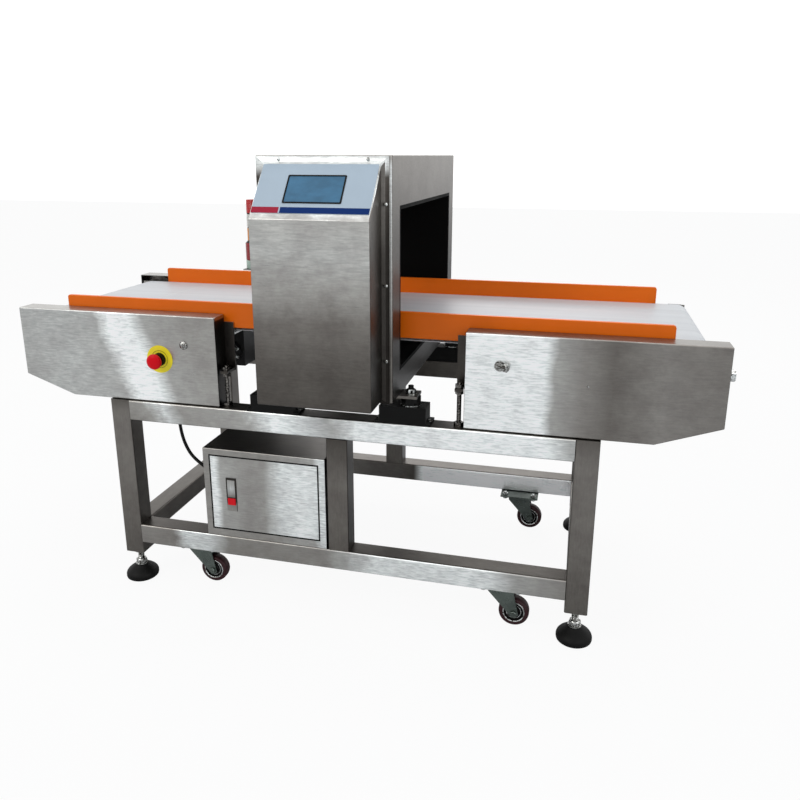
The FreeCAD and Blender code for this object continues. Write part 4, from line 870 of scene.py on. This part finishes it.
class DETECTOR_OT_conveyor(bpy.types.Operator):
    """Belt bed: side plates, slider bed, belt, rollers, bearings and guides"""
    bl_idname = "detector.conveyor"
    bl_label = "Conveyor"

    def execute(self, context):
        # Front plates painted dark as shade and rear plates lighter: lit and shaded copies of one
        # steel, with a painted highlight along the top edge.
        for face, level in (("front", 0.06), ("rear", 0.30)):
            dress("side_plates_" + face, brushed("x", "x", ((0.0, level), (1.0, level)),
                                                 painted_side_tones=((0.0, 0.05), (0.86, 0.05), (0.92, 0.5))))
            dress("guard_" + face, moulded("guard", 0.34, 900.0, 0.22), 0.0012, 2)
        # Support studs painted dark as they stand in shade under the covers.
        dress("support_studs", bright_steel(0.24, 0.16))
        # Cross ties painted dark as shade under the belt.
        dress("cross_ties", brushed("y", "y", ((0.0, 0.05), (1.0, 0.04)), painted_side_tones=((0.0, 0.03),)))
        dress("bed_plate", moulded("bed", 0.5))
        dress("belt", belt_cloth(), None, smooth=30)
        for node in ("drive_roller", "tail_roller", "snub_roller_left", "snub_roller_right"):
            dress(node, bright_steel(0.26))
        dress("roller_bearings", moulded("black", 0.45))
        dress("tension_screws", bright_steel(0.2))
        self.bearing_details()
        self.belt_splice()
        return {"FINISHED"}

    def bearing_details(self):
        """Flange bolts of each bearing block, but for the one behind the drive cover."""
        mesh = bmesh.new()
        for x, y, side_x, side_y in corners(ROLLER_X, BLOCK_FACE):
            axis = outward(side_y)
            if (side_x, side_y) == (-1, 1):
                continue
            for dx, dz, _, _ in corners(BLOCK_BOLT, BLOCK_BOLT):
                bolt(mesh, (x + dx, y, ROLLER_Z + dz), axis, 5.0, 0.2 + dx)
        keep("bearing_bolts", mesh, "machine", bright_steel(0.22), "bed_steel", 40)

    def belt_splice(self):
        """Faint slanted joint across the belt's top run."""
        mesh = bmesh.new()
        half, start, run, width, thick = 214.6, -606, 52, 1.4, 0.12
        outline = ((start, -half), (start + run, half), (start + width + run, half),
                   (start + width, -half))
        skin(mesh, [[mesh.verts.new(at(x, y, level)) for x, y in outline]
                    for level in (BELT_TOP - 0.05, BELT_TOP + thick)])
        keep("belt_splice", mesh, "machine", moulded("bed", 0.4), "belt_white", None)


# ---------------------------------------------------------------- covers

COVER_FACE = 284
DOME_X, HEXAGON_X, FIXING_Z = -366, 358, 625


class DETECTOR_OT_covers(bpy.types.Operator):
    """Folded side covers with their fixings"""
    bl_idname = "detector.covers"
    bl_label = "Covers"

    def execute(self, context):
        # Painted reflections: bright and dark bands along each cover, painted shade on its ends and
        # underside, and a painted highlight on the top fold.
        ends = ((0.0, 0.03), (0.955, 0.035), (0.97, 0.36))
        dress("cover_front_left", brushed("x", "x", (
            (0.0, 0.48), (0.3, 0.52), (0.54, 0.50), (0.62, 1.1), (0.72, 1.0), (0.8, 0.44),
            (1.0, 0.36)), 0.03, 0.27, painted_side_tones=ends, lean=0.16))
        dress("cover_front_right", brushed("x", "x", (
            (0.0, 1.0), (0.32, 0.98), (0.36, 0.42), (0.46, 0.28), (0.58, 0.17), (0.78, 0.26),
            (1.0, 0.22)), 0.03, 0.27, painted_side_tones=((0.0, 0.03), (0.955, 0.035), (0.97, 0.24))))
        dress("cover_rear_left", brushed("x", "x", ((0.0, 0.46), (0.5, 0.34), (1.0, 0.5)),
                                         painted_side_tones=ends))
        front = -COVER_FACE
        fix = bmesh.new()
        turned(fix, (DOME_X, front, FIXING_Z - 1), "-y", [
            (0, 0), (10.2, 0), (10.2, 1.0), (9.2, 2.6), (6.6, 4.6), (3.2, 5.6), (0, 5.9)], 40)
        turned(fix, (HEXAGON_X, front, FIXING_Z), "-y", [
            (0, 0), (11.5, 0), (11.5, 1.4), (0, 1.4)], 32)
        hexagon(fix, (HEXAGON_X, front - 1.4, FIXING_Z), "-y", 16, 5.6, 0.25)
        tilt = Matrix.Rotation(math.radians(58), 4, "Z") @ AXES["-y"]
        turned(fix, (HEXAGON_X, front - 5.0, FIXING_Z), tilt, [
            (0, 0), (4.4, 0), (4.4, 12.0), (8.6, 12.2), (8.6, 19.0), (7.4, 20.2), (0, 20.4)], 28)
        turned(fix, (537, front, 594), "-y", [(0, 0), (2.6, 0), (2.2, 0.7), (0, 1.0)], 20)
        for x in (-700, -460):
            turned(fix, (x, COVER_FACE, 600), "y", [
                (0, 0), (9.0, 0), (9.0, 1.0), (7.6, 2.8), (4.4, 4.3), (0, 5.0)], 32)
        keep("cover_fixings", fix, "machine", bright_steel(0.14, 0.36), "cover_stainless", 40)
        return {"FINISHED"}


# ---------------------------------------------------------------- drive

GEAR_X, OUTPUT_Z, MOTOR_Z, GEAR_Y = -424, 515, 555, 105
GEAR_SIDE = GEAR_X - 39
LID_X, LID_BOLT = GEAR_SIDE - 85, 27
FINS, FIN_START, FIN_RUN, FIN_RADIUS = 26, GEAR_SIDE - 150, 112, 50


class DETECTOR_OT_drive(bpy.types.Operator):
    """Gearmotor, sprockets and roller chain"""
    bl_idname = "detector.drive"
    bl_label = "Drive"

    def execute(self, context):
        dress("gearmotor", motor_paint(), 0.0016, 3)
        dress("roller_sprocket", oiled_steel())
        dress("output_shaft_and_sprocket", oiled_steel())
        dress("drive_chain", oiled_steel(), None)
        self.motor_details()
        return {"FINISHED"}

    def motor_details(self):
        fins = bmesh.new()
        out = Matrix.Translation((FIN_RADIUS * MM, 0, 0))
        for i in range(FINS):
            angle = 2 * math.pi * i / FINS
            if math.sin(angle) < -0.96:
                continue
            spin = AXES["x"] @ Matrix.Rotation(angle, 4, "Z") @ out
            prism(fins, (FIN_START, GEAR_Y, MOTOR_Z), spin,
                  [(-2.4, -1.1), (1.7, -0.7), (1.7, 0.7), (-2.4, 1.1)], FIN_RUN)
        keep("motor_fins", fins, "machine", motor_paint(), "motor_paint", None)
        metal = bmesh.new()
        for i in range(6):
            angle = math.radians(60 * i + 30)
            bolt(metal, (GEAR_X + 23 * math.cos(angle), 60, OUTPUT_Z + 23 * math.sin(angle)),
                 "-y", 5.0, angle)
        for dx, dz in ((-30, -24), (30, -24), (-30, 24), (30, 24)):
            bolt(metal, (GEAR_X + dx, 144, OUTPUT_Z + 18 + dz * 1.3), "y", 5.0)
        for dx, dz, _, _ in corners(LID_BOLT, LID_BOLT):
            screw(metal, (LID_X + dx, 33, MOTOR_Z + dz), "-y", 3.0)
        keep("motor_bolts", metal, "machine", bright_steel(0.24), "bed_steel", 40)
        lid = prism(bmesh.new(), (LID_X, 36.5, MOTOR_Z), "-y", rounded(71.5, 71.5, 5), 1.0)
        keep("terminal_lid_seam", lid, "machine", moulded("black", 0.5), "motor_paint", 40)


# ---------------------------------------------------------------- head

HEAD_FRONT, MOUNT_X, MOUNT_BOLT_X, MOUNT_Y = -345, 152, 166, 265
MOUNT_FOOT_Z, MOUNT_CUP_Z, LUG_TOP_Z = 485, 520.1, 545


class DETECTOR_OT_head(bpy.types.Operator):
    """Detector head, tunnel liner and rubber mounts"""
    bl_idname = "detector.head"
    bl_label = "Head"

    def execute(self, context):
        # Painted reflection and shade: the sides darken towards the bottom, where they reflect the
        # dark room, and the front brightens upward.
        dress("head_housing", brushed("x", "z", (
            (0.0, 0.03), (0.24, 0.035), (0.4, 0.07), (0.56, 0.12), (0.84, 0.135), (1.0, 0.17)),
            0.03, 0.32, "x", ((0.0, 0.16), (0.28, 0.2), (0.42, 0.4), (0.96, 0.6), (0.99, 0.34))))
        dress("tunnel_liner", moulded("black", 0.6, 420.0, 0.03))
        dress("head_mounts", moulded("black", 0.5))
        metal = bmesh.new()
        for x, y, side_x, side_y in corners(MOUNT_BOLT_X, MOUNT_Y):
            turned(metal, (x, y, MOUNT_CUP_Z), "z", [
                (0, 0), (22.6, 0), (22.6, 2.2), (0, 2.2)], 48)
            turned(metal, (x, y, LUG_TOP_Z), "z", [(0, 0), (13, 0), (13, 1.8), (0, 1.8)], 32)
            hexagon(metal, (x, y, LUG_TOP_Z + 1.8), "z", 19, 8.4, 0.2)
            thread(metal, (x, y, LUG_TOP_Z + 10), "z", 6.0, 7.5, 1.75)
            for dx in (-57, 57):
                bolt(metal, (side_x * MOUNT_X + dx, y, MOUNT_FOOT_Z), "z", 5.0)
        keep("mount_hardware", metal, "machine", bright_steel(0.24), "bed_steel", 40)
        return {"FINISHED"}


BOX_X, BOX_FRONT, FOLD_Z, BACK_Z = 1, -431, 927, 1031
FOLD = (BOX_X, BOX_FRONT, FOLD_Z)
SCREW_X = 131.5


def slope_frame():
    """Matrix of the slanted face: X to the right, Y up the slope, Z out of it, from its fold."""
    lean = math.atan2(BACK_Z - FOLD_Z, HEAD_FRONT - BOX_FRONT)
    return Matrix.Rotation(lean, 4, "X")


class DETECTOR_OT_operator_box(bpy.types.Operator):
    """Operator box with its sloped panel, screen and screws"""
    bl_idname = "detector.operator_box"
    bl_label = "Operator box"

    def execute(self, context):
        # Painted reflection and shade: bright and dark bands across the front, darker sides, and a
        # dark rear part with a painted highlight on its top edge.
        dress("control_box", brushed("x", "z", (
            (0.0, 0.095), (0.15, 0.11), (0.36, 0.19), (0.5, 0.36), (0.64, 0.48), (0.77, 0.44),
            (0.81, 0.8), (1.0, 0.5)), 0.04, 0.28,
            painted_side_tones=((0.0, 0.06), (0.6, 0.11), (0.8, 0.2), (1.0, 0.26)),
            behind=("z", ((0.0, 0.02), (0.7, 0.03), (0.92, 0.07), (0.965, 0.66)))))
        self.panel()
        self.screws()
        return {"FINISHED"}

    def plate(self, name, left, right, low, high, level, thick, material, corner):
        """A thin plate on the sloping face, its place given from the fold and the middle."""
        shift = Matrix.Translation(((left + right) / 2 * MM, (low + high) / 2 * MM, level * MM))
        mesh = prism(bmesh.new(), FOLD, slope_frame() @ shift,
                     rounded(right - left, high - low, corner), thick)
        return keep(name, mesh, "machine", material, "panel_film", 30)

    def panel(self):
        film = self.plate("panel_film", -119.5, 119.5, 14, 131, 0.05, 0.9,
                          moulded("panel", 0.3, 1200.0, 0.25), 2.5)
        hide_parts("display_panel")
        for name, left, right in (("panel_red", -119.3, -63.5), ("panel_blue", -60.5, 118.5)):
            self.plate(name + "_bar", left, right, 14.3, 28, 0.95, 0.18,
                       moulded(name, 0.3, 1200.0, 0.12), 0.4)
        bezel = bmesh.new()
        middle = (37 + 104) / 2
        where = placed(FOLD, slope_frame() @ Matrix.Translation((0, middle * MM, 0.9 * MM)))
        outer, inner = rounded(120, 67, 2.2), rounded(114, 61, 1.2)
        rings = [[bezel.verts.new(where @ Vector((a * MM, b * MM, level * MM)))
                  for a, b in outline]
                 for outline, level in ((outer, 0), (outer, 1.0), (inner, 1.3), (inner, 0.2))]
        skin(bezel, rings, capped=False)
        keep("screen_bezel", bezel, "machine", moulded("black", 0.35), "panel_film", 30)
        self.plate("screen_glass", -57.2, 57.2, 39.8, 101.2, 0.9, 0.35, screen_glass(), 1.0)

    def screws(self):
        mesh = bmesh.new()
        front = HEAD_FRONT - 2
        for x in (-88, 97):
            screw(mesh, (x, front, 1038), "-y", 3.6)
        for z in (953, 793, 636):
            for x in (BOX_X + SCREW_X, BOX_X - SCREW_X):
                screw(mesh, (x, front, z), "-y", 3.8)
        keep("box_screws", mesh, "machine", bright_steel(0.2), "control_stainless", 40)


# foot of the lamp's axis
LAMP = (-166, -300, 812)


class DETECTOR_OT_alarm_lamp(bpy.types.Operator):
    """Small stack lamp on its bracket"""
    bl_idname = "detector.alarm_lamp"
    bl_label = "Alarm lamp"

    def execute(self, context):
        x, y, low = LAMP
        base = turned(bmesh.new(), (x, y, low), "z", [
            (0, 0), (21.4, 0), (21.9, 0.8), (21.9, 17.4), (21.4, 18.2), (0, 18.2)], 48)
        piece = keep("lamp_base", base, "machine", lens(0.42, 0.55, 0.47), "lamp", 40)
        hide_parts("alarm_lamp")
        shelf = bmesh.new()
        outline = [(-22, 0), (27, 0), (27, -34), (25, -34), (25, -2.5), (-22, -2.5)]
        prism(shelf, (x, y + 22, low), "-y", outline, 44)
        # Brushed steel painted lighter at its left end and darker at its right, as painted
        # reflection.
        keep("lamp_bracket", shelf, "machine", brushed("x", "x", ((0.0, 0.3), (1.0, 0.12))),
             "head_stainless", None)
        seams = bmesh.new()
        for foot, radius, high, shade in (
                (830.2, 21.9, 36.8, (0.30, 0.012, 0.016)), (870.2, 16.9, 27.6, (0.80, 0.27, 0.02)),
                (899.0, 16.9, 27.6, (0.72, 0.70, 0.66)), (927.8, 16.9, 28.6, (0.55, 0.014, 0.018))):
            tier = turned(bmesh.new(), (x, y, foot), "z", [
                (radius - 1.2, 0), (radius, 1.2), (radius, high - 1.4), (radius - 0.5, high - 0.5),
                (radius - 2.2, high), (0, high), (0, 0)], 48)
            keep("lamp_tier_%d" % foot, tier, "machine", lens(*shade), "lamp", 40)
            turned(seams, (x, y, foot - 1.2), "z", [
                (radius - 2.5, 0), (radius - 0.6, 0), (radius - 0.6, 1.4), (radius - 2.5, 1.4)],
                40, closed=True)
        turned(seams, (x, y, 867.0), "z", [(0, 0), (20.6, 0), (17.4, 3.2), (0, 3.2)], 48)
        keep("lamp_seams", seams, "machine", moulded("black", 0.4), "lamp", 40)
        return {"FINISHED"}


# middle of the emergency stop, on the face of the left cover
STOP = (-430, -COVER_FACE, 587)


class DETECTOR_OT_emergency_stop(bpy.types.Operator):
    """Emergency stop: label ring, collar and mushroom"""
    bl_idname = "detector.emergency_stop"
    bl_label = "Emergency stop"

    def execute(self, context):
        x, front, z = STOP
        ring = turned(bmesh.new(), (x, front, z), "-y", [
            (15.2, 0), (32.6, 0), (33, 0.4), (32.8, 1.0), (15.2, 1.1)], 72, closed=True)
        piece = keep("stop_label", ring, "machine", moulded("stop_yellow", 0.35, 900.0, 0.3),
                     "stop_yellow", 40)
        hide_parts("emergency_stop_base")
        groove = turned(bmesh.new(), (x, front - 1.0, z), "-y", [
            (20.2, 0), (20.2, 0.22), (21.0, 0.22), (21.0, 0)], 64, closed=True)
        keep("stop_label_line", groove, "machine", moulded("black", 0.5), "stop_yellow", None)
        collar = turned(bmesh.new(), (x, front, z), "-y", [
            (8.1, -36), (14, -36), (15.0, 0), (15.6, 0.5), (15.6, 6), (14.6, 9.5), (14.6, 12.4),
            (8.1, 12.9)], 56, closed=True)
        keep("stop_collar", collar, "machine", moulded("black", 0.35), "stop_yellow", 40)
        block = prism(bmesh.new(), (x, front + 12, z), "y", rounded(30, 38, 2), 26)
        keep("stop_contacts", block, "machine", moulded("black", 0.45), "stop_yellow", 30)
        head = turned(bmesh.new(), (x, front + 0.5, z), "-y", [
            (0, 0), (8, 0), (8, 19.0), (11.5, 19.4), (16.2, 20.8), (17.8, 23.0), (18.3, 26.0),
            (17.6, 29.0), (15.4, 31.4), (11.4, 33.2), (5.6, 34.3), (0, 34.6)], 64)
        piece = keep("stop_mushroom", head, "stop_button", moulded("stop_red", 0.28, 900.0, 0.12),
                     "stop_red", 60)
        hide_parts("emergency_stop_button")
        return {"FINISHED"}


# ---------------------------------------------------------------- cabinet

# The black strips in the door gap are painted shade: these give the opening, their widths, back
# face and depth.
DOOR_OPENING = (-319.8, -44.2, 170.2, 362.8)
GAP_SHADE_WIDTH, HINGE_GAP_SHADE_WIDTH = 3.3, 1.9
GAP_SHADE_BACK, GAP_SHADE_DEPTH = -288.4, 1.65


class DETECTOR_OT_cabinet(bpy.types.Operator):
    """Electric cabinet with its door, latch, inverter and black strips of painted shade in the door
    gap
    """
    bl_idname = "detector.cabinet"
    bl_label = "Cabinet"

    def execute(self, context):
        # Painted reflection and shade: bright and dark bands across shell, door and latch, and
        # their other sides painted dark as shade.
        dress("cabinet_shell", brushed("x", "x", (
            (0.0, 0.34), (0.5, 0.3), (0.9, 0.44), (0.95, 0.8)),
            painted_side_tones=((0.0, 0.03), (0.975, 0.03), (0.98, 0.07))))
        dress("cabinet_door", brushed("x", "x", (
            (0.0, 1.0), (0.045, 0.95), (0.10, 0.44), (0.35, 0.36), (0.5, 0.38), (0.66, 0.8),
            (0.9, 0.95), (1.0, 0.85)), 0.03, 0.27, painted_side_tones=((0.0, 0.004),)))
        dress("latch_housing", brushed("z", "z", (
            (0.0, 0.3), (0.16, 0.28), (0.3, 0.05), (1.0, 0.05)), painted_side_tones=((0.0, 0.01),)), 0.0005)
        dress("latch_handle", brushed("z", "z", ((0.0, 0.2), (0.5, 0.55), (1.0, 0.4)),
                                      painted_side_tones=((0.0, 0.02),)), 0.0005)
        dress("latch_button", moulded("stop_red", 0.3, 900.0, 0.2), 0.0010, 3)
        dress("drive_inverter", moulded("black", 0.5), 0.0015, 3)
        self.seal()
        return {"FINISHED"}

    def seal(self):
        """Black strips around the door, standing for the deep shade in the gap between door and
        frame: painted shade.
        """
        left, right, low, high = DOOR_OPENING
        strips = ((left, right, low, low + GAP_SHADE_WIDTH), (left, right, high - GAP_SHADE_WIDTH, high),
                  (left, left + GAP_SHADE_WIDTH, low + GAP_SHADE_WIDTH, high - GAP_SHADE_WIDTH),
                  (right - HINGE_GAP_SHADE_WIDTH, right, low + GAP_SHADE_WIDTH, high - GAP_SHADE_WIDTH))
        shade_strips = bmesh.new()
        for x0, x1, z0, z1 in strips:
            prism(shade_strips, (0, GAP_SHADE_BACK, 0), "-y", [(x0, z0), (x1, z0), (x1, z1), (x0, z1)],
                  GAP_SHADE_DEPTH)
        keep("door_seal", shade_strips, "machine", moulded("black", 0.5), "cabinet_stainless", None)


LEAD_ROUTE = [
    (-513, 25, 540), (-509, -60, 538), (-487, -130, 520), (-457, -181, 485),
    (-441, -205, 440), (-431, -219, 393), (-414, -232, 357), (-387, -242, 325),
    (-343, -245, 300)]
GLAND_NECK = 14.2


class DETECTOR_OT_lead(bpy.types.Operator):
    """Motor lead between its two glands"""
    bl_idname = "detector.lead"
    bl_label = "Motor lead"

    def execute(self, context):
        points = [Vector(point) for point in LEAD_ROUTE]
        for end, following in ((0, 1), (-1, -2)):
            along = (points[following] - points[end]).normalized()
            points[end] = points[end] + along * GLAND_NECK
        curve = bpy.data.curves.new("motor_lead_line", "CURVE")
        curve.dimensions = "3D"
        spline = curve.splines.new("NURBS")
        spline.points.add(len(points) - 1)
        for point, place in zip(spline.points, points):
            point.co = (*at(*place), 1.0)
        spline.order_u = 3
        spline.use_endpoint_u = True
        curve.bevel_depth = context.scene.detector_sizes.lead_diameter / 2
        curve.bevel_resolution = 5
        curve.resolution_u = 12
        curve.use_fill_caps = True
        lead = bpy.data.objects.new("lead", curve)
        context.scene.collection.objects.link(lead)
        curve.materials.append(moulded("black", 0.45))
        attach(lead, "machine")
        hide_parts("motor_lead")
        dress("cable_glands", moulded("black", 0.4), 0.0005)
        return {"FINISHED"}


OPERATORS = (DETECTOR_OT_stage, DETECTOR_OT_stand, DETECTOR_OT_feet, DETECTOR_OT_casters,
             DETECTOR_OT_conveyor, DETECTOR_OT_covers, DETECTOR_OT_drive, DETECTOR_OT_head,
             DETECTOR_OT_operator_box, DETECTOR_OT_alarm_lamp, DETECTOR_OT_emergency_stop,
             DETECTOR_OT_cabinet, DETECTOR_OT_lead)


class DETECTOR_PT_panel(bpy.types.Panel):
    """Lists the groups of pieces"""
    bl_label = "Conveyor metal detector"
    bl_idname = "DETECTOR_PT_panel"
    bl_space_type = "VIEW_3D"
    bl_region_type = "UI"
    bl_category = "Detector"

    def draw(self, context):
        for kind in OPERATORS:
            self.layout.operator(kind.bl_idname)
        for group in (context.scene.detector_colours, context.scene.detector_sizes):
            for name in group.bl_rna.properties.keys():
                if name not in ("rna_type", "name"):
                    self.layout.prop(group, name)


CLASSES = (DetectorColours, DetectorSizes, *OPERATORS, DETECTOR_PT_panel)


def register():
    for kind in CLASSES:
        bpy.utils.register_class(kind)
    bpy.types.Scene.detector_colours = bpy.props.PointerProperty(type=DetectorColours)
    bpy.types.Scene.detector_sizes = bpy.props.PointerProperty(type=DetectorSizes)


def unregister():
    del bpy.types.Scene.detector_sizes
    del bpy.types.Scene.detector_colours
    for kind in reversed(CLASSES):
        bpy.utils.unregister_class(kind)


def main():
    register()
    for kind in OPERATORS:
        group, name = kind.bl_idname.split(".")
        getattr(getattr(bpy.ops, group), name)()


if __name__ == "__main__":
    main()
